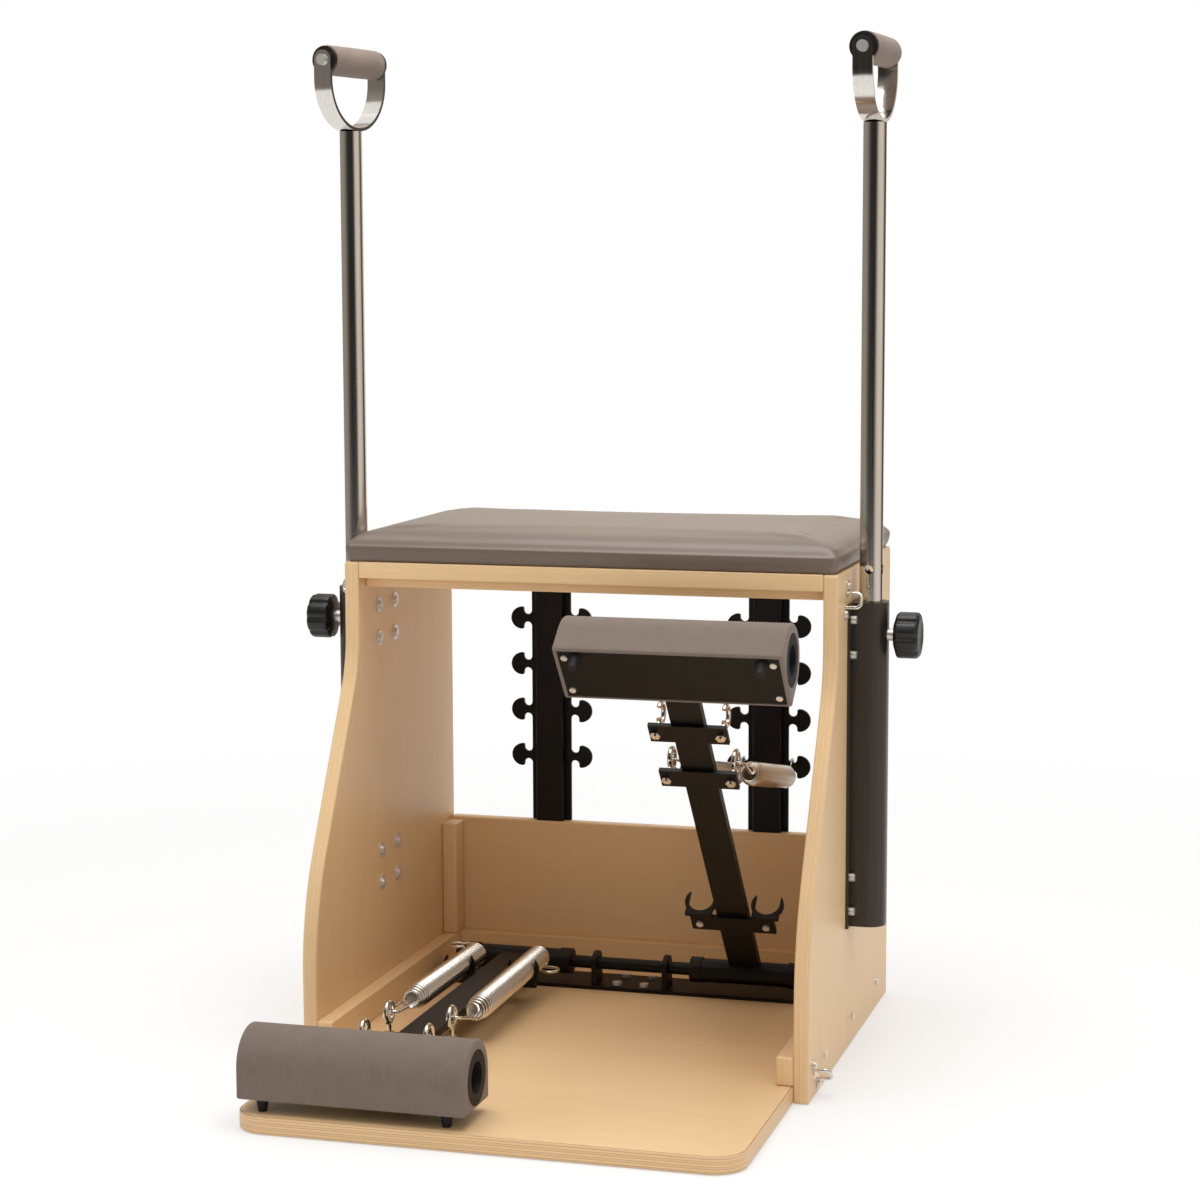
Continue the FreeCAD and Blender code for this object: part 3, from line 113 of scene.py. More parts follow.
def plywood(name, layers, grain, centre, lines=0.3):
    # Birch plywood under satin lacquer: long fine streaks on the faces, and on the cut edges
    # alternate pale and darker plies parted by thin glue lines.
    w = woodLook
    material, tree, shader, place = newMaterial(name)
    stretch = [1000 / w["grainLength"] if axis == grain else 1000 / w["grainWidth"] for axis in "xyz"]
    fibre = addNode(tree, "ShaderNodeMapping", {"Vector": place, "Scale": stretch})
    streaks = addNode(tree, "ShaderNodeTexNoise", {
        "Vector": fibre.outputs[0], "Scale": 1.0, "Detail": 4.0, "Roughness": 0.6, "Distortion": 0.4})
    fine = streaks.outputs["Fac"]
    face = blendColour(tree, remap(tree, fine, 0.38, 0.78, 0.0, w["streakMost"]), w["face"], w["streak"])
    cloud = addNode(tree, "ShaderNodeMapping", {
        "Vector": place, "Scale": [w["driftScale"][axis == grain] for axis in "xyz"]})
    drift = addNode(tree, "ShaderNodeTexNoise", {"Vector": cloud.outputs[0], "Scale": 1.0, "Detail": 2.0})
    driftShare = remap(tree, drift.outputs["Fac"], 0.35, 0.7, 0.0, w["driftMost"])
    face = blendColour(tree, driftShare, face, w["cross"])
    apart = addNode(tree, "ShaderNodeSeparateXYZ", {"Vector": place})
    depth = addNode(tree, "ShaderNodeMath", {  # distance from the board's middle in plies, ply centre at 0
        0: apart.outputs["xyz".index(layers)], 1: -centre}, operation="ADD")
    depth = addNode(tree, "ShaderNodeMath", {0: depth.outputs[0], 1: 1000 / w["layer"]}, operation="MULTIPLY")
    ply = addNode(tree, "ShaderNodeMath", {0: depth.outputs[0], 1: 1.0}, operation="PINGPONG").outputs[0]
    wood = blendColour(tree, remap(tree, ply, 0.42, 0.58, 0.0, lines), face, w["cross"])
    seam = addNode(tree, "ShaderNodeMath", {0: ply, 1: 0.5, 2: w["glueHalf"]}, operation="COMPARE")
    seamShare = addNode(tree, "ShaderNodeMath", {0: seam.outputs[0], 1: lines}, operation="MULTIPLY")
    wood = blendColour(tree, seamShare.outputs[0], wood, w["glue"])
    dress(tree, shader, wood, remap(tree, fine, 0.0, 1.0, *w["rough"]), fine, 0.12, 0.4)
    shader.inputs["Coat Weight"].default_value = w["coat"]
    shader.inputs["Coat Roughness"].default_value = w["coatRough"]
    return material


def upholsteryVinyl(dark, light, pebbleSize):
    # Upholstery vinyl: an embossed pebble grain of about a millimetre and a soft sheen.
    material, tree, shader, place = newMaterial("upholsteryVinyl")
    pebble = addNode(tree, "ShaderNodeTexVoronoi", {
        "Vector": place, "Scale": 1000 / pebbleSize, "Randomness": 1.0}).outputs["Distance"]
    drift = addNode(tree, "ShaderNodeTexNoise", {"Vector": place, "Scale": 9.0, "Detail": 3.0})
    colour = mottle(tree, drift.outputs["Fac"], dark, light)
    dress(tree, shader, colour, remap(tree, pebble, 0.0, 0.8, 0.3, 0.42), pebble, 0.1, 0.3, True)
    return material


def closedCellFoam(name, dark, light, poreSize=0.8):
    # Closed-cell rubber foam: matt, with fine pores under a millimetre across.
    material, tree, shader, place = newMaterial(name)
    pores = addNode(tree, "ShaderNodeTexVoronoi", {
        "Vector": place, "Scale": 1000 / poreSize}).outputs["Distance"]
    patch = addNode(tree, "ShaderNodeTexNoise", {"Vector": place, "Scale": 60.0, "Detail": 4.0})
    colour = mottle(tree, patch.outputs["Fac"], dark, light)
    dress(tree, shader, colour, remap(tree, pores, 0.0, 0.8, 0.72, 0.9), pores, 0.2, 0.3)
    shader.inputs["Sheen Weight"].default_value = 0.12
    shader.inputs["Sheen Roughness"].default_value = 0.5
    return material


def powderCoat(dark, light, peelSize):
    # Powder-coated steel: near black, a fine orange-peel ripple of about 1.5 mm and a satin gloss.
    material, tree, shader, place = newMaterial("blackPowderCoat")
    peel = addNode(tree, "ShaderNodeTexNoise", {
        "Vector": place, "Scale": 1000 / peelSize, "Detail": 2.0}).outputs["Fac"]
    patch = addNode(tree, "ShaderNodeTexNoise", {"Vector": place, "Scale": 18.0, "Detail": 3.0})
    colour = mottle(tree, patch.outputs["Fac"], dark, light)
    dress(tree, shader, colour, remap(tree, peel, 0.0, 1.0, 0.38, 0.54), peel, 0.08, 0.4)
    shader.inputs["Specular IOR Level"].default_value = 0.28
    return material


def anodisedExtrusion(dark, light, lineWidth):
    # Black anodised aluminium extrusion: faint die lines that run the length of the bar.
    material, tree, shader, place = newMaterial("blackAnodisedAluminium")
    along = addNode(tree, "ShaderNodeMapping", {
        "Vector": place, "Scale": [1000 / lineWidth, 1000 / lineWidth, 2.0]})
    lines = addNode(tree, "ShaderNodeTexNoise", {
        "Vector": along.outputs[0], "Scale": 1.0, "Detail": 3.0}).outputs["Fac"]
    colour = mottle(tree, lines, dark, light)
    dress(tree, shader, colour, remap(tree, lines, 0.0, 1.0, 0.3, 0.46), lines, 0.1, 0.2)
    shader.inputs["Metallic"].default_value = 0.35
    return material


def brightSteel(name, colour, low, high, streak, metallic=1.0):
    # Bright steel: a mirror softened by fine polishing marks, streak in marks to the metre.
    material, tree, shader, place = newMaterial(name)
    along = addNode(tree, "ShaderNodeMapping", {"Vector": place, "Scale": streak})
    marks = addNode(tree, "ShaderNodeTexNoise", {
        "Vector": along.outputs[0], "Scale": 1.0, "Detail": 4.0}).outputs["Fac"]
    tone = blendColour(tree, marks, colour, "#F1EEE9")
    dress(tree, shader, tone, remap(tree, marks, 0.0, 1.0, low, high), marks, 0.03, 0.2)
    shader.inputs["Metallic"].default_value = metallic
    return material


def mouldedBlack(name, dark, light, low, high, grit):
    # Moulded black polymer: a fine sparked texture, grit in millimetres.
    material, tree, shader, place = newMaterial(name)
    spark = addNode(tree, "ShaderNodeTexNoise", {
        "Vector": place, "Scale": 1000 / grit, "Detail": 3.0}).outputs["Fac"]
    colour = mottle(tree, spark, dark, light, 0.35, 0.65)
    dress(tree, shader, colour, remap(tree, spark, 0.0, 1.0, low, high), spark, 0.15, 0.2)
    return material


vinyl = upholsteryVinyl("#6F6055", "#76665A", 1.1)
rollFoam = closedCellFoam("ribbedRubberFoam", "#75665A", "#7A6B5F")
gripFoam = closedCellFoam("gripRubberFoam", "#7D6C60", "#887669")
blackPaint = powderCoat("#0A0705", "#0F0B08", 1.5)
extrusion = anodisedExtrusion("#332B24", "#42382F", 0.9)
polishedSteel = brightSteel("polishedStainless", "#C9C2B9", 0.1, 0.2, [700, 700, 8])
zincSteel = brightSteel("zincPlatedSteel", "#D6D4D0", 0.24, 0.4, [500, 500, 500], 0.7)
springSteel = brightSteel("nickelledSpringWire", "#CFC9BF", 0.12, 0.24, [900, 900, 900])
knobPlastic = mouldedBlack("mouldedNylon", "#0F0E0D", "#191716", 0.34, 0.5, 0.7)
footRubber = mouldedBlack("blackRubber", "#0B0A0A", "#151413", 0.62, 0.8, 0.9)
print("materials made")

# each finish and the CAD nodes that show it
nodeFinish = {
    blackPaint: ["post_left", "post_right", "hook_plate_left", "hook_plate_right", "pivot_base_plate",
                 "pivot_bearings", "pivot_shaft", "left_arm", "right_arm",
                 "left_pedal_plate", "right_pedal_plate", "left_spring_brackets", "right_spring_brackets"],
    extrusion: ["pole_holder_left", "pole_holder_right"],
    polishedSteel: ["left_pole", "right_pole", "left_yoke", "right_yoke", "left_spring_eyes",
                    "right_spring_eyes", "band_loops"],
    zincSteel: ["machine_bolts", "panel_screws", "left_pedal_fixings", "right_pedal_fixings",
                "left_grip_screws", "right_grip_screws", "left_clamp_screw", "right_clamp_screw"],
    knobPlastic: ["left_guide_bush", "right_guide_bush", "left_grip_core", "right_grip_core"],
    footRubber: ["left_pedal_feet", "right_pedal_feet", "left_pedal_core", "right_pedal_core"],
}
for finish, names in nodeFinish.items():
    for name in names:
        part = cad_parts[name]
        if not part.material_slots:
            part.data.materials.append(finish)
        for holder in part.material_slots:
            holder.material = finish
print("CAD nodes finished")


def gridFaces(grid, closedRows, capped):
    # Rows of points, each row closed on itself, become quads. Open ends get one flat face each,
    # and the whole is turned round where its volume about its own middle is negative.
    rows, cols = grid.shape[:2]
    index = np.arange(rows * cols).reshape(rows, cols)
    across = np.hstack((index, index[:, :1]))
    along = np.vstack((across, across[:1])) if closedRows else across
    quads = np.stack((along[:-1, :-1], along[:-1, 1:], along[1:, 1:], along[1:, :-1]), axis=-1)
    quads = quads.reshape(-1, 4)
    points = grid.reshape(-1, 3)
    a, b, c, d = (points[quads[:, i]] - points.mean(axis=0) for i in range(4))
    volume = np.sum(a * np.cross(b, c)) + np.sum(a * np.cross(c, d))
    caps = [index[0][::-1], index[-1]] if capped and not closedRows else []
    if volume < 0:
        quads = quads[:, ::-1]
        caps = [cap[::-1] for cap in caps]
    return points, quads, caps


def makePiece(name, surfaces, material, body, nodes=(), sharp=40.0):
    # Several grids, in millimetres, become one object at the origin, with its place in its mesh.
    spots, faces, start = [], [], 0
    for grid, closedRows, capped in surfaces:
        points, quads, caps = gridFaces(np.asarray(grid, float), closedRows, capped)
        faces += (quads + start).tolist() + [(cap + start).tolist() for cap in caps]
        spots.append(points)
        start += len(points)
    mesh = bpy.data.meshes.new(name)
    mesh.from_pydata(np.concatenate(spots) * mm, [], faces)
    mesh.update()
    mesh.polygons.foreach_set("use_smooth", np.ones(len(mesh.polygons), bool))
    mesh.set_sharp_from_angle(angle=math.radians(sharp))
    mesh.materials.append(material)
    piece = bpy.data.objects.new(name, mesh)
    bpy.context.scene.collection.objects.link(piece)
    if body:
        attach(piece, body)
    if nodes:
        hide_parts(*nodes)
    return piece


def unit(vectors):
    return vectors / np.linalg.norm(vectors, axis=-1, keepdims=True)


def smoothStep(low, high, values):
    share = np.clip((values - low) / (high - low), 0, 1)
    return share * share * (3 - 2 * share)


def softOutline(corners, radii, steps=10):
    # A polygon whose corners are arcs: each arc turns from one side's heading to the next about
    # the point on the corner's bisector that lies a radius from both sides.
    spots = np.array(corners, float)
    size = np.array(radii, float)[:, None]
    before = unit(np.roll(spots, 1, axis=0) - spots)
    after = unit(np.roll(spots, -1, axis=0) - spots)
    half = np.arccos(np.clip(np.sum(before * after, axis=1, keepdims=True), -1, 1)) / 2
    centre = spots + unit(before + after) * size / np.sin(half)
    first = spots + before * size / np.tan(half) - centre
    last = spots + after * size / np.tan(half) - centre
    sweep = (math.pi - 2 * half)[:, None, :]
    share = np.linspace(0, 1, steps + 1)[None, :, None]
    arcs = np.sin((1 - share) * sweep) * first[:, None] + np.sin(share * sweep) * last[:, None]
    return (centre[:, None] + arcs / np.sin(sweep)).reshape(-1, 2)


def drawnIn(line, inset):  # a closed outline moved square to itself, inwards for a positive inset
    heading = unit(np.roll(line, -1, axis=0) - np.roll(line, 1, axis=0))
    square = np.stack((heading[:, 1], -heading[:, 0]), axis=1)
    x, y = line.T
    turn = np.sign(np.sum(x * np.roll(y, -1) - y * np.roll(x, -1)))
    return line - square * turn * inset


def slab(line, low, high, plane, edge, rim=1.2):
    # An outline carried through a thickness, with quarter-round edges: near each face the outline
    # is drawn in by edge * (1 - sin a) at edge * (1 - cos a) from the face. A flat rim on each
    # face keeps its shading level.
    turn = np.linspace(0, math.pi / 2, 5)
    inset = np.concatenate(([edge + rim], edge * (1 - np.sin(turn))))
    height = np.concatenate(([0.0], edge * (1 - np.cos(turn))))
    insets = np.concatenate((inset, inset[::-1]))
    heights = np.concatenate((low + height, high - height[::-1]))
    rings = []
    for inwards, level in zip(insets, heights):
        ring = drawnIn(line, inwards)
        flat = np.full(len(ring), level)
        order = {"xy": (ring[:, 0], ring[:, 1], flat), "xz": (ring[:, 0], flat, ring[:, 1]),
                 "yz": (flat, ring[:, 0], ring[:, 1])}[plane]
        rings.append(np.stack(order, axis=1))
    return np.array(rings), False, True


def turned(profile, origin, axis, sides=48):
    # A profile of (distance along the axis, radius) turned about an axis through the origin.
    way = unit(np.array(axis, float))
    side = unit(np.cross(way, (0.3, 0.5, 0.81) if abs(way[2]) > 0.9 else (0, 0, 1)))
    other = np.cross(way, side)
    shape = np.array(profile, float)
    turn = np.linspace(0, 2 * math.pi, sides, endpoint=False)[None, :, None]
    around = np.cos(turn) * side + np.sin(turn) * other
    return np.array(origin) + shape[:, :1, None] * way + shape[:, 1:, None] * around, False, True


def swept(path, normals, radius, sides=10):
    # A round wire along a path: at each station a circle in the plane square to the heading,
    # counted from the given normal.
    heading = unit(np.gradient(path, axis=0))
    square = unit(normals - heading * np.sum(normals * heading, axis=1, keepdims=True))
    other = np.cross(heading, square)
    turn = np.linspace(0, 2 * math.pi, sides, endpoint=False)[None, :, None]
    around = np.cos(turn) * square[:, None] + np.sin(turn) * other[:, None]
    return path[:, None] + radius * around, False, True


chair = {
    "half": 308.0, "back": 386.0, "front": -386.0, "panel": 18.0, "board": 20.0, "height": 590.0,
    "depth": 508.0, "topDepth": 352.0, "knees": (185.0, 467.0), "kneeRadii": (290.0, 140.0),
    "corner": 38.0, "edge": 2.2, "batten": (20.0, 34.0), "backBoard": (18.0, 188.0),
    "rail": (13.0, 34.0, 24.0), "cornerDrop": 4.0, "boardCorner": 4.0, "stripCorner": 3.0, "stripEdge": 1.5,
    "seatEdge": 1.2, "baseLines": 0.9, "seatLines": 0.08,
}


def oblong(left, low, right, high):  # the corners of an upright rectangle, counted round
    return [(left, low), (right, low), (right, high), (left, high)]


def makeBoards():
    half, back, front, thick = chair["half"], chair["back"], chair["front"], chair["board"]
    inner = half - chair["panel"]
    edge, low, high = chair["edge"], chair["board"], chair["height"]
    deep = back - chair["depth"]
    top = back - chair["topDepth"]
    backFace = back - chair["backBoard"][0]
    wide, tall = chair["batten"]
    small, eased = chair["boardCorner"], chair["stripEdge"]
    strips = [chair["stripCorner"]] * 4
    sway = softOutline(
        [(deep, 0), (back, 0), (back, high), (top, high), (top, chair["knees"][1]), (deep, chair["knees"][0])],
        [small, small, small, small, chair["kneeRadii"][1], chair["kneeRadii"][0]], 24)
    for side, sign in (("left", -1), ("right", 1)):
        span = sorted((sign * half, sign * inner))
        look = plywood("birchPly_panel_" + side, "x", "z", sum(span) / 2 * mm)
        makePiece("panel_" + side, [slab(sway, *span, "yz", edge)], look, "frame",
                  ["side_panel_" + side])
        near = sorted((sign * inner, sign * (inner - wide)))
        look = plywood("birchPly_batten_" + side, "x", "y", sum(near) / 2 * mm)
        strip = softOutline(oblong(deep, low, backFace, low + tall), strips)
        makePiece("batten_" + side, [slab(strip, *near, "yz", eased)], look, "frame",
                  ["base_batten_" + side])

    def board(name, node, corners, radii, span, plane, edge, lines=0.3):
        layers = {"xy": "z", "xz": "y"}[plane]
        look = plywood("birchPly_" + name, layers, "x", sum(span) / 2 * mm, lines)
        shape = slab(softOutline(corners, radii, 16), *span, plane, edge)
        makePiece(name, [shape], look, "frame", [node])

    big = chair["corner"]
    board("baseBoard", "base_board", oblong(-inner, front, inner, back), [big, big, small, small],
          (0, thick), "xy", edge, chair["baseLines"])
    board("seatBoard", "seat_board", oblong(-inner, top, inner, back), strips,
          (high - thick, high), "xy", chair["seatEdge"], chair["seatLines"])
    tallRail, deepRail, setBack = chair["rail"]
    board("frontRail", "front_rail", oblong(-inner, top + setBack, inner, top + setBack + deepRail), strips,
          (high - thick - tallRail, high - thick), "xy", eased)
    board("backBoard", "back_board", oblong(-inner, low, inner, low + chair["backBoard"][1]), [small] * 4,
          (backFace, back), "xz", edge)
    board("battenRear", "base_batten_rear", oblong(wide - inner, low, inner - wide, low + tall), strips,
          (backFace - wide, backFace), "xz", eased)
    look = plywood("birchPly_corners", "y", "z", (backFace - tall / 2) * mm)
    highEnd = low + chair["backBoard"][1] - chair["cornerDrop"]
    posts = []
    for sign in (-1, 1):
        a, b = sorted((sign * inner, sign * (inner - wide)))
        square = softOutline(oblong(a, backFace - tall, b, backFace), strips)
        posts.append(slab(square, low + tall, highEnd, "xy", eased))
    makePiece("battenCorners", posts, look, "frame", ["corner_battens"])


makeBoards()
print("plywood box made")


cushion = {
    "half": (309.0, 177.0), "centre": 210.0, "floor": 590.0, "seam": 18.0, "voxel": 0.0048,
    "pressure": 4.0, "stiffness": 25.0, "cap": 0.0015, "frames": 20, "limit": (311.0, 179.0),
    "pinFloor": 4.0, "pinSeam": 3.2, "pinDepth": 5.0,
    # rows from the seat board up to the crown
    "inset": (4.0, 3.2, 1.6, 0.2, 0.0, 1.4, 4.6, 9.6, 17.0, 29.0, 47.0, 74.0, 110.0, 145.0),
    "rise": (0.0, 2.0, 9.0, 16.6, 18.2, 21.4, 27.0, 31.8, 35.8, 38.8, 40.9, 41.9, 42.3, 42.4),
    "corner": (5.0, 5.0, 5.0, 5.0, 5.0, 6.0, 8.0, 11.0, 15.0, 20.0, 26.0, 32.0, 34.0, 30.0),
}


def cushionGrid():
    # Stacked round-cornered rectangles: the border leans out up to the seam, where it turns sharply
    # into a slope that flattens toward the crown.
    half = cushion["half"]
    rings = []
    for inset, rise, corner in zip(cushion["inset"], cushion["rise"], cushion["corner"]):
        x, y = half[0] - inset, half[1] - inset
        ring = softOutline(oblong(-x, -y, x, y), [corner] * 4, 12)
        level = np.full(len(ring), cushion["floor"] + rise)
        rings.append(np.stack((ring[:, 0], ring[:, 1] + cushion["centre"], level), axis=1))
    return np.array(rings), False, True


def stitchedDown(spots):
    # The points near the seat board and along the seam, which the stuffing can't push out.
    up = spots[:, 2] / mm - cushion["floor"]
    aside = np.maximum(np.abs(spots[:, 0] / mm) - cushion["half"][0],
                       np.abs(spots[:, 1] / mm - cushion["centre"]) - cushion["half"][1])
    seam = (np.abs(up - cushion["seam"]) < cushion["pinSeam"]) & (aside > -cushion["pinDepth"])
    return (up < cushion["pinFloor"]) | seam


def inflate(piece, voxel, pressure, stiffness, cap, frames, held):
    # The recipe for a stuffed pad: even remesh, gas pressure in a cloth skin, then each point's
    # travel is cut to the cap along its own way and the points in the held rows stay.
    remesh = piece.modifiers.new("even", "REMESH")
    remesh.mode = "VOXEL"
    remesh.voxel_size = voxel
    graph = bpy.context.evaluated_depsgraph_get()
    even = bpy.data.meshes.new_from_object(piece.evaluated_get(graph))
    piece.modifiers.clear()
    old = piece.data
    piece.data = even
    bpy.data.meshes.remove(old)
    count = len(even.vertices)
    start = np.empty(count * 3)
    even.vertices.foreach_get("co", start)
    start = start.reshape(-1, 3)
    pins = piece.vertex_groups.new(name="held")
    pins.add(np.nonzero(held(start))[0].tolist(), 1.0, "REPLACE")
    cloth = piece.modifiers.new("skin", "CLOTH")
    cloth.settings.use_pressure = True
    cloth.settings.uniform_pressure_force = pressure
    cloth.settings.effector_weights.gravity = 0
    cloth.settings.vertex_group_mass = "held"
    cloth.settings.tension_stiffness = cloth.settings.compression_stiffness = stiffness
    cloth.point_cache.frame_end = frames
    scene = bpy.context.scene
    for step in range(1, frames + 1):
        scene.frame_set(step)
    graph = bpy.context.evaluated_depsgraph_get()
    blown = bpy.data.meshes.new_from_object(piece.evaluated_get(graph))
    moved = np.empty(count * 3)
    blown.vertices.foreach_get("co", moved)
    travel = moved.reshape(-1, 3) - start
    length = np.linalg.norm(travel, axis=1, keepdims=True)
    travel *= np.minimum(1, cap / np.maximum(length, 1e-9))
    piece.modifiers.clear()
    bpy.data.meshes.remove(blown)
    scene.frame_set(1)
    return start + travel


def makeCushion():
    piece = makePiece("seatCushion", [cushionGrid()], vinyl, None, ["seat_cushion"])
    floor = cushion["floor"] * mm
    points = inflate(piece, cushion["voxel"], cushion["pressure"], cushion["stiffness"], cushion["cap"],
                     cushion["frames"], stitchedDown)
    points[:, 2] = np.maximum(points[:, 2], floor)
    reach = np.array(cushion["limit"]) * mm
    points[:, 0] = np.clip(points[:, 0], -reach[0], reach[0])
    middle = cushion["centre"] * mm
    points[:, 1] = np.clip(points[:, 1], middle - reach[1], middle + reach[1])
    piece.data.vertices.foreach_set("co", points.ravel())
    piece.data.update()
    piece.data.materials.clear()
    piece.data.materials.append(vinyl)
    piece.data.polygons.foreach_set("use_smooth", np.ones(len(piece.data.polygons), bool))
    finer = piece.modifiers.new("finer", "SUBSURF")
    finer.levels = finer.render_levels = 1
    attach(piece, "frame")


makeCushion()
print("seat cushion made")


pedalSize = {
    "spread": 151.0, "shaft": (243.5, 51.0), "reach": 579.0, "rise": 18.0, "radius": 42.0, "flat": 16.0,
    "length": 267.0, "edge": 3.0, "soleCorner": 3.2, "recess": (38.2, 4.0, 128.2),
    "ribPitch": 3.7, "ribDepth": 0.32, "ribSteps": 6, "ribStart": 2.0, "ribFade": 4.0,
    "flange": 31.2, "flangeDepth": 4.2, "bore": 22.2, "raise": {"left": 0.0, "right": 50.5},
}


def pedalPoints(points, side):
    # From the pedal's own axes (across, out along the arm, up from it) to the frame: turned up
    # about the shaft by the pedal's angle.
    turn = math.radians(pedalSize["raise"][side])
    middle = pedalSize["spread"] * (-1 if side == "left" else 1)
    across, out, up = points[..., 0], points[..., 1], points[..., 2]
    y = pedalSize["shaft"][0] - out * math.cos(turn) + up * math.sin(turn)
    z = pedalSize["shaft"][1] + out * math.sin(turn) + up * math.cos(turn)
    return np.stack((middle + across, y, z), axis=-1)


def rollOutline(recess):
    # The roll's section: a half circle on straight sides, round lower corners and a flat sole,
    # whose middle is sunk by the recess.
    radius, flat, rise = pedalSize["radius"], pedalSize["flat"], pedalSize["rise"]
    lip, small = pedalSize["recess"][0], pedalSize["soleCorner"]
    arch = np.linspace(0, math.pi, 49)
    dome = np.stack((radius * np.cos(arch), rise + radius * np.sin(arch)), axis=1)
    bend = np.linspace(0, math.pi / 2, 6)
    left = np.stack((small - radius - small * np.cos(bend), small - flat - small * np.sin(bend)), axis=1)
    ledge = np.array([(-lip, -flat), (-lip, recess - flat), (-lip / 2, recess - flat), (0, recess - flat),
                      (lip / 2, recess - flat), (lip, recess - flat), (lip, -flat)])
    right = left[::-1] * (-1, 1)
    return np.concatenate((dome, left, ledge, right))


def rollGrid(side):
    # The section carried along the roll. Rows near each end are drawn in to round the edge, and
    # cosine ribs stand on the dome and the sides. The last row joins the first through the bore.
    length, edge = pedalSize["length"] / 2, pedalSize["edge"]
    stop = pedalSize["recess"][2]
    plain, sunk = rollOutline(0.0), rollOutline(pedalSize["recess"][1])
    above = plain[:, 1] + pedalSize["flat"] - pedalSize["ribStart"]
    ribbed = np.clip(above / pedalSize["ribFade"], 0, 1)
    turn = np.linspace(0, math.pi / 2, 6)
    rim = np.stack((edge * (1 - np.sin(turn)), -length + edge * (1 - np.cos(turn))), axis=1)
    count = int(round(2 * (length - edge) / pedalSize["ribPitch"])) * pedalSize["ribSteps"]
    middle = np.linspace(edge - length, length - edge, count + 1)[1:-1]
    wave = np.cos(2 * math.pi * (middle + length) / pedalSize["ribPitch"]) - 1
    ringAngle = np.arctan2(plain[:, 1] - pedalSize["rise"], plain[:, 0])
    ring = np.stack((np.cos(ringAngle), np.sin(ringAngle)), axis=1)
    hole, tube = (ring * size + (0, pedalSize["rise"]) for size in (pedalSize["flange"], pedalSize["bore"]))
    floor = pedalSize["flangeDepth"] - length
    rows = [(tube, floor), (hole, floor), (hole, -length)]
    rows += [(drawnIn(plain, inset), spot) for inset, spot in rim]
    heading = drawnIn(plain, -1.0) - plain
    for spot, lift in zip(middle, wave):
        section = sunk if abs(spot) < stop else plain
        rows.append((section + heading * (lift * pedalSize["ribDepth"] * ribbed)[:, None], spot))
    rows += [(drawnIn(plain, inset), -spot) for inset, spot in rim[::-1]]
    rows += [(hole, length), (hole, -floor), (tube, -floor)]
    grid = np.array([
        np.stack((np.full(len(line), spot), pedalSize["reach"] + line[:, 0], line[:, 1]), axis=1)
        for line, spot in rows])
    return pedalPoints(grid, side), True, False


for side in ("left", "right"):
    roll = makePiece(side + "PedalRoll", [rollGrid(side)], rollFoam, side + "_pedal",
                     [side + "_pedal_foam"], 50.0)
print("pedal rolls made")


springSize = {
    "wire": 1.9, "coil": 13.2, "neck": 9.6, "hook": 11.0, "lead": 34.0, "straight": 20.0, "end": 315.0,
    "eye": 8.0, "tail": 10.0, "turns": 58, "perTurn": 24, "openTurns": 6.0, "openClimb": 0.7, "legClimb": 12.0,
    # shares of the winding: to fade at an end, to change to an end's radius, to taper at the rear and the front
    "fade": 0.014, "necking": 0.012, "rearTaper": 0.045, "frontTaper": 0.075,
    "hookSweep": (-125.0, 90.0), "sideSweep": (140.0, -90.0), "sideLead": 5.0, "sideLoop": 11.0,
    "sideLift": 4.0, "sag": 13.0, "hookSpread": (149.0, 32.75), "hookSpot": (378.637, 294.99),
    "eyeReach": 388.0, "eyeRise": 27.0, "eyeSide": 39.0, "eyeShort": 14.45,
    "restReach": 120.0, "restRise": 17.0, "restSide": 42.5, "droop": {"outer": 4.0, "inner": 16.0},
}


def coilPath(lift, stored):
    # The wound stretch in polar form: the angle runs back turn by turn while the height climbs
    # evenly, and more over the last turns, which close in. Toward an open leg the winding fades
    # and the height climbs faster.
    s = springSize
    hung = not stored
    first = math.pi / 2 if hung and lift > 0 else -math.pi / 2
    low = s["lead"] + s["sideLift"] if stored else s["straight"]
    total = 2 * math.pi * s["turns"] + (0.5 if hung and lift > 0 else 1.5) * math.pi
    share = np.linspace(0, 1, s["turns"] * s["perTurn"])
    fadeIn = smoothStep(0, s["fade"], share) if hung else np.ones_like(share)
    fadeOut = smoothStep(0, s["fade"], 1 - share)
    wind = fadeIn * fadeOut
    loose = 1 - smoothStep(0, s["openTurns"] / s["turns"], 1 - share)
    climb = 1 + s["openClimb"] * np.sqrt(loose) + s["legClimb"] * (1 - wind)
    angle = np.concatenate(([0], np.cumsum((wind[1:] + wind[:-1]) / 2)))
    height = np.concatenate(([0], np.cumsum((climb[1:] + climb[:-1]) / 2)))
    angle = first - total * angle / angle[-1]
    height = low + (s["end"] - low) * height / height[-1]
    narrow = s["neck"] + (s["coil"] - s["neck"]) * smoothStep(0, s["frontTaper"], 1 - share)
    radius = s["eye"] + (narrow - s["eye"]) * smoothStep(0, s["necking"], 1 - share)
    if hung:
        start = s["neck"] + (s["coil"] - s["neck"]) * smoothStep(0, s["rearTaper"], share)
        start = s["hook"] + (start - s["hook"]) * smoothStep(0, s["necking"], share)
        radius = np.where(share < 0.5, start, radius)
    outward = np.stack((np.cos(angle), np.sin(angle), np.zeros_like(angle)), axis=1)
    path = outward * radius[:, None]
    path[:, 2] = height
    return path, outward


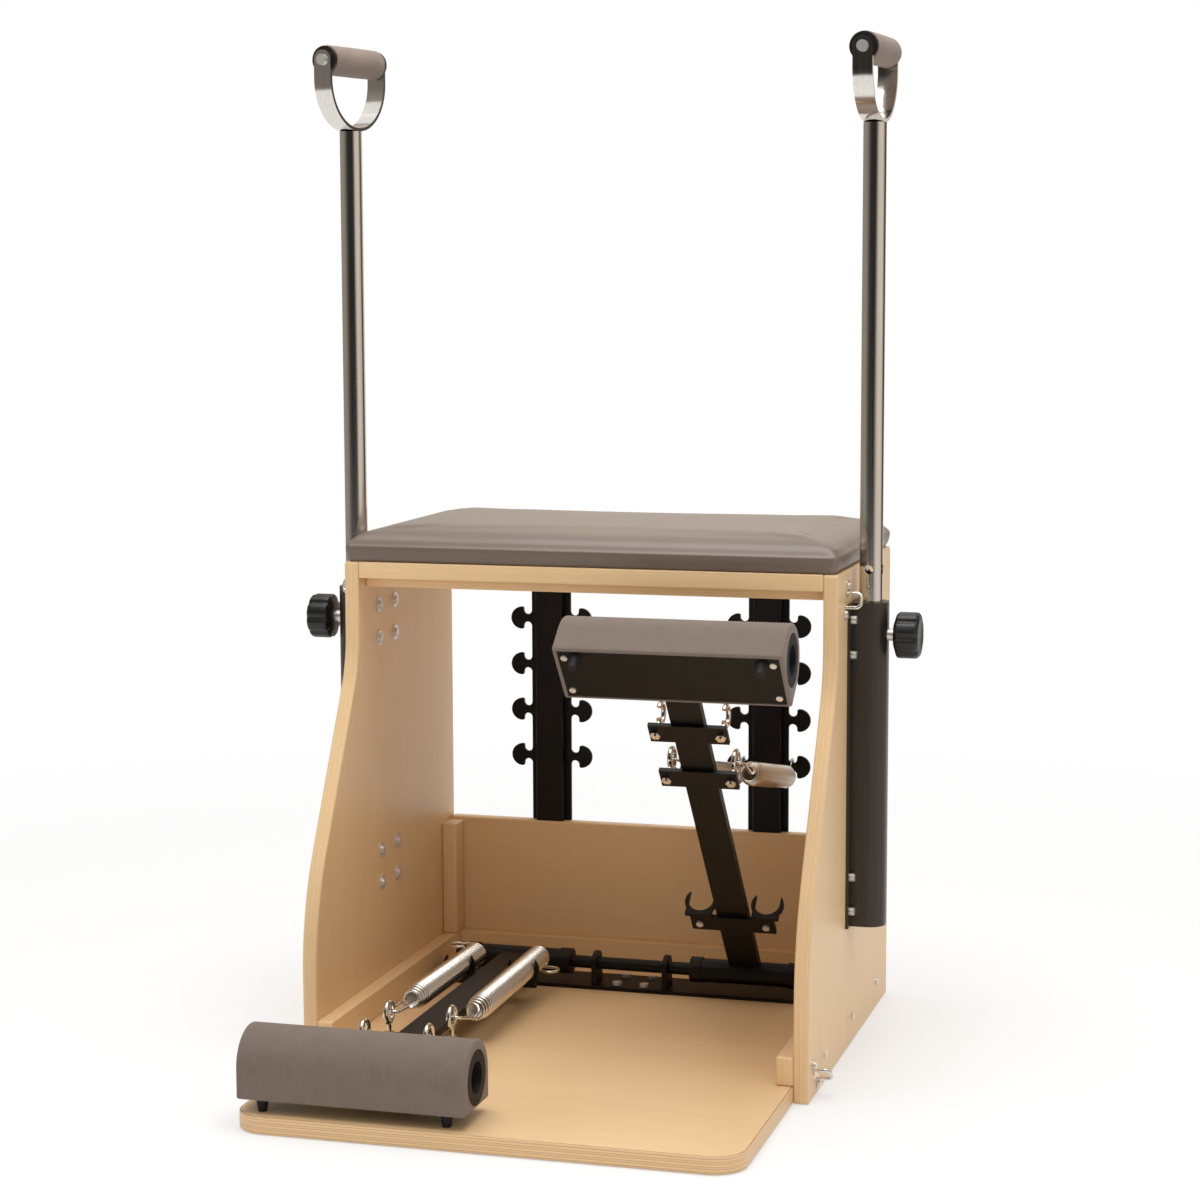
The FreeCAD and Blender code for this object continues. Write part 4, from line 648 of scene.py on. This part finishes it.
def springPath(reach, lift, stored):
    # Rear hook, wound stretch and long front loop of one wire, with a normal for each station.
    # The front loop leans up to the middle of the eye's ring, which is lifted off the axis.
    s = springSize
    wound, outward = coilPath(lift, stored)
    if not stored:
        side = math.copysign(1, lift)
        turn = np.radians(np.linspace(*s["hookSweep"], 30))
        bow = lift + side * s["hook"] * np.sin(turn)
        hook = np.stack((0 * turn, bow, -s["hook"] * np.cos(turn)), axis=1)
        along = np.linspace(0, s["straight"], 13)[1:-1]
        drop = lift * (1 - smoothStep(0, s["straight"], along)) + side * s["hook"]
        leg = np.stack((0 * along, drop, along), axis=1)
        roll = np.concatenate((0 * turn, smoothStep(0, s["straight"], along) * math.pi / 2))
        rearNormal = np.stack((np.cos(roll), side * np.sin(roll), 0 * roll), axis=1)
    else:
        low, side, curl = s["lead"] + s["sideLift"], s["coil"] + s["sideLead"], s["sideLoop"]
        turn = np.radians(np.linspace(*s["sideSweep"], 28))
        under = np.full(len(turn), -s["coil"])
        hook = np.stack((side + curl * np.cos(turn), under, low + curl + curl * np.sin(turn)), axis=1)
        leg = np.linspace((side, -s["coil"], low), (0, -s["coil"], low), 7)[1:-1]
        rearNormal = np.tile((0.0, -1.0, 0.0), (len(hook) + len(leg), 1))
    foot = np.array((0, 0, s["end"]))
    ringMiddle = np.array((0, lift, reach))
    lean = unit(ringMiddle - foot)
    bend = ringMiddle - lean * s["eyeShort"]
    wing = np.array((s["eye"], 0, 0))
    up = np.linspace(foot + wing, bend + wing, 16)[1:-1]
    turn = np.linspace(0, math.pi, 25)[:, None]
    loop = bend + wing * np.cos(turn) + lean * s["eye"] * np.sin(turn)
    back = np.linspace(bend - wing, foot - wing + lean * s["tail"], 12)[1:]
    quarter = math.pi / 2
    roll = np.concatenate((np.linspace(0, quarter, len(up)), np.full(len(loop) + len(back), quarter)))[:, None]
    level = np.array((0, lean[2], -lean[1]))
    frontNormal = np.cos(roll) * (1.0, 0.0, 0.0) + np.sin(roll) * level
    path = np.concatenate((hook, leg, wound, up, loop, back))
    return path, np.concatenate((rearNormal, outward, frontNormal))


def placedSpring(hook, axis, way, reach, lift, stored=False):
    across = np.array((way, 0.0, 0.0))
    across = unit(across - axis * np.dot(across, axis))
    upright = np.cross(axis, across)
    basis = np.stack((across, upright, axis))
    path, normals = springPath(reach, lift, stored)
    return swept(hook - upright * lift + path @ basis, normals @ basis, springSize["wire"])


def makeSprings():
    s = springSize
    for name, way in (("inner", -1), ("outer", 1)):
        hook = np.array((s["hookSpread"][0] + way * s["hookSpread"][1], *s["hookSpot"]))
        eye = pedalPoints(np.array((way * s["eyeSide"], s["eyeReach"], s["eyeRise"])), "right")
        axis = unit(eye - hook)
        reach = np.linalg.norm(eye - hook)
        piece = makePiece("rightSpring_" + name, [placedSpring(hook, axis, way, reach, way * s["sag"])],
                          springSteel, None, ["right_spring_" + name], 60.0)
        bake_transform(piece)
    straight = math.hypot(reach - s["end"], s["sag"])
    for name, way in (("outer", -1), ("inner", 1)):
        eye = pedalPoints(np.array((way * s["eyeSide"], s["eyeReach"], s["eyeRise"])), "left")
        rest = pedalPoints(np.array((way * s["restSide"], s["restReach"], s["restRise"])), "left")
        axis = unit(eye - (0, 0, s["droop"][name]) - rest)
        reach = s["end"] + math.sqrt(straight ** 2 - s["droop"][name] ** 2)
        makePiece("leftSpring_" + name,
                  [placedSpring(eye - axis * reach, axis, way, reach, way * s["droop"][name], True)],
                  springSteel, "left_pedal", ["left_spring_" + name], 60.0)


makeSprings()
print("springs made")


handleSize = {
    "pole": (329.0, 132.0), "turn": {"left": -12.0, "right": -4.0}, "grip": 1200.0, "gripHalf": 53.6,
    "gripRadius": 18.0, "gripBore": 11.3, "gripEnd": 4.0, "gripRound": 2.0, "gripBelly": 0.25,
    "knobBase": 50.5, "knobLength": 31.0, "knobRadius": 28.0, "knobHeight": 509.0,
    "flutes": 8, "fluteDepth": 0.1,
    # the knob's rows: share of its length, share of its radius, share of the flutes' depth
    "knobRows": (
        (0.0, 0.3, 0.0), (0.0, 0.6, 0.0), (0.03, 0.68, 0.4), (0.07, 0.82, 0.8), (0.11, 0.94, 1.0),
        (0.15, 0.985, 1.0), (0.2, 1.0, 1.0), (0.4, 1.0, 1.0), (0.6, 1.0, 1.0), (0.8, 1.0, 1.0),
        (0.86, 0.995, 1.0), (0.91, 0.975, 0.95), (0.95, 0.935, 0.85), (0.98, 0.88, 0.65), (1.0, 0.8, 0.4),
        (1.0, 0.6, 0.0), (0.985, 0.55, 0.0), (0.98, 0.02, 0.0)),
}


def makeGrip(side, sign):
    # A sponge sleeve: straight, with ends that round over by a quarter circle and a slight belly,
    # half a cosine wave.
    h = handleSize
    turn = math.radians(h["turn"][side])
    axis = (-math.sin(turn), math.cos(turn), 0)
    half, radius, soft, bore = h["gripHalf"], h["gripRadius"], h["gripRound"], h["gripBore"]
    end = np.linspace(0, math.pi / 2, 7)
    body = np.linspace(h["gripEnd"] - half, half - h["gripEnd"], 15)
    belly = np.stack((body, radius + h["gripBelly"] * np.cos(body / half * math.pi / 2)), axis=1)
    near = np.stack((-half + soft * (1 - np.cos(end)), radius - soft + soft * np.sin(end)), axis=1)
    far = near[::-1] * (-1, 1)
    profile = np.concatenate(([(-half, bore)], near, belly, far, [(half, bore)]))
    sleeve = turned(profile, (sign * h["pole"][0], h["pole"][1], h["grip"]), axis, 56)
    piece = makePiece(side + "Grip", [sleeve], gripFoam, side + "_handle", [side + "_grip_foam"], 50.0)


def makeKnob(side, sign):
    # A fluted knob: a drum with rounded edges whose radius is let in by eight narrow flutes, each
    # the fourth power of a cosine wave. They fade out on the neck and the face.
    h = handleSize
    share, radius, fluted = np.array(h["knobRows"]).T[:, :, None]
    turn = np.linspace(0, 2 * math.pi, 128, endpoint=False)[None, :]
    dip = h["fluteDepth"] * ((1 + np.cos(h["flutes"] * turn)) / 2) ** 4
    reach = h["knobRadius"] * radius * (1 - fluted * dip)
    x = sign * (chair["half"] + h["knobBase"] + h["knobLength"] * share) + 0 * turn
    y = h["pole"][1] + reach * np.cos(turn)
    grid = np.stack((x, y, h["knobHeight"] + reach * np.sin(turn)), axis=-1)
    makePiece(side + "Knob", [(grid, False, True)], knobPlastic, side + "_knob",
              [side + "_clamp_knob"], 45.0)


for side, sign in (("left", -1), ("right", 1)):
    makeGrip(side, sign)
    makeKnob(side, sign)
print("grips and knobs made")


studio = {
    "eyePoint": (0.9084, -3.0745, 0.9462), "yaw": 15.972, "pitch": 6.946, "roll": -0.186, "lens": 81.62,
    "world": 0.64, "target": (0, 0.05, 0.5),
    # each lamp's place, size and power
    "lamps": {"key": ((2.0, -2.5, 2.3), 1.8, 88.0), "fill": ((-2.3, -2.3, 1.4), 1.6, 23.0),
              "top": ((0.1, -0.2, 3.0), 2.2, 60.0)},
    "floor": "#F6F6F5", "floorHalf": 20.0, "floorDrop": 0.0004, "whiteFrom": (0.5, 0.45), "whiteTo": (2.4, 1.0),
    "dark": 0.03, "windows": ((80, 36, 0.74), (-104, 62, 0.3), (180, 30, 0.97)),
    "curtainReach": 3.7, "curtainHeight": (-0.2, 2.0, 4.2), "curtainGrey": (0.0, 0.0, 0.34),
}


def hangCurtain():
    # A cylinder about the chair that only mirror-like surfaces see, for the soft dark bands of a
    # photographer's room on the tubes. Its tone is dark plus a flat-topped bell for each window, by
    # bearing from the front: (middle, half width, strength). Each level has some grey besides.
    steps = 180
    bearing = np.linspace(-180, 180, steps, endpoint=False)
    tone = np.full(steps, studio["dark"])
    for middle, half, strength in studio["windows"]:
        away = (bearing - middle + 180) % 360 - 180
        tone += strength * np.exp(-(away / half) ** 4)
    turn = np.radians(bearing)
    ring = np.stack((np.sin(turn), -np.cos(turn)), axis=1) * studio["curtainReach"]
    points = np.concatenate(
        [np.column_stack((ring, np.full(steps, level))) for level in studio["curtainHeight"]])
    low = np.arange(steps)
    following = (low + 1) % steps
    faces = np.stack((low, following, following + steps, low + steps), axis=1)
    faces = np.concatenate((faces, faces + steps))
    cloth = bpy.data.materials.new("studioCurtain")
    cloth.use_nodes = True
    tree = cloth.node_tree
    tree.nodes.clear()
    level = addNode(tree, "ShaderNodeAttribute", attribute_name="tone")
    glow = addNode(tree, "ShaderNodeEmission", {
        "Color": toLinear("#FFF4E8"), "Strength": level.outputs["Fac"]})
    addNode(tree, "ShaderNodeOutputMaterial", {"Surface": glow.outputs[0]})
    mesh = bpy.data.meshes.new("curtain")
    mesh.from_pydata(points, [], faces.tolist())
    mesh.attributes.new("tone", "FLOAT", "POINT").data.foreach_set(
        "value", np.concatenate([np.maximum(tone, grey) for grey in studio["curtainGrey"]]))
    mesh.materials.append(cloth)
    curtain = bpy.data.objects.new("curtain", mesh)
    curtain.visible_camera = curtain.visible_diffuse = False
    curtain.visible_shadow = curtain.visible_transmission = False
    bpy.context.scene.collection.objects.link(curtain)


def rayShare(tree, *kinds):  # 1 for a ray of one of these kinds, 0 for any other
    ray = addNode(tree, "ShaderNodeLightPath")
    share = ray.outputs[kinds[0]]
    for kind in kinds[1:]:
        larger = addNode(tree, "ShaderNodeMath", {0: share, 1: ray.outputs[kind]}, operation="MAXIMUM")
        share = larger.outputs[0]
    return share


def makeCamera(scene):
    camera = bpy.data.cameras.new("camera")
    camera.lens = studio["lens"]
    camera.sensor_width = 36.0
    camera.clip_end = 60.0
    seer = bpy.data.objects.new("camera", camera)
    seer.location = studio["eyePoint"]
    aim = Euler((math.radians(90 - studio["pitch"]), 0, math.radians(studio["yaw"]))).to_matrix()
    seer.rotation_euler = (aim @ Matrix.Rotation(math.radians(studio["roll"]), 3, "Z")).to_euler()
    scene.collection.objects.link(seer)
    scene.camera = seer


def makeLight(scene):
    # A white room: full white to the eye and in mirrors, softer as a light, with three square lamps.
    world = bpy.data.worlds.new("whiteStudio")
    world.use_nodes = True
    scene.world = world
    tree = world.node_tree
    tree.nodes.clear()
    seen = rayShare(tree, "Is Camera Ray", "Is Glossy Ray", "Is Transmission Ray")
    strength = remap(tree, seen, 0.0, 1.0, studio["world"], 1.0)
    glow = addNode(tree, "ShaderNodeBackground", {"Color": (1, 1, 1, 1), "Strength": strength})
    addNode(tree, "ShaderNodeOutputWorld", {"Surface": glow.outputs[0]})
    for name, (spot, size, power) in studio["lamps"].items():
        lamp = bpy.data.lights.new(name, "AREA")
        lamp.energy = power
        lamp.size = size
        holder = bpy.data.objects.new(name, lamp)
        holder.location = spot
        aim = np.array(studio["target"]) - np.array(spot)
        holder.rotation_euler = Euler((math.acos(aim[2] / np.linalg.norm(aim)) - math.pi, 0,
                                       math.atan2(aim[1], aim[0]) - math.pi / 2))
        scene.collection.objects.link(holder)


def layFloor(scene):
    # A pale floor that holds the chair's shadow near it and turns to plain white further out.
    floor, tree, shader, place = newMaterial("paleFloor")
    shader.inputs["Base Color"].default_value = toLinear(studio["floor"])
    shader.inputs["Roughness"].default_value = 0.8
    reach = addNode(tree, "ShaderNodeVectorMath", {0: place}, operation="LENGTH")
    (near, least), (far, most) = studio["whiteFrom"], studio["whiteTo"]
    fade = addNode(tree, "ShaderNodeMapRange", {
        "Value": reach.outputs["Value"], "From Min": near, "From Max": far, "To Min": least, "To Max": most},
        interpolation_type="SMOOTHSTEP")
    seen = rayShare(tree, "Is Camera Ray", "Is Glossy Ray")
    share = addNode(tree, "ShaderNodeMath", {0: seen, 1: fade.outputs[0]}, operation="MULTIPLY")
    white = addNode(tree, "ShaderNodeEmission", {"Color": (1, 1, 1, 1), "Strength": 1.0})
    mixed = addNode(tree, "ShaderNodeMixShader", {
        0: share.outputs[0], 1: shader.outputs[0], 2: white.outputs[0]})
    tree.links.new(mixed.outputs[0], tree.nodes["Material Output"].inputs["Surface"])
    half, level = studio["floorHalf"], -studio["floorDrop"]
    ground = bpy.data.meshes.new("floor")
    ground.from_pydata([(x, y, level) for x, y in oblong(-half, -half, half, half)], [], [(0, 1, 2, 3)])
    ground.materials.append(floor)
    plane = bpy.data.objects.new("floor", ground)
    scene.collection.objects.link(plane)


def makeStudio():
    scene = bpy.context.scene
    scene.view_settings.view_transform = "Standard"
    makeCamera(scene)
    makeLight(scene)
    hangCurtain()
    layFloor(scene)


makeStudio()
print("studio made")
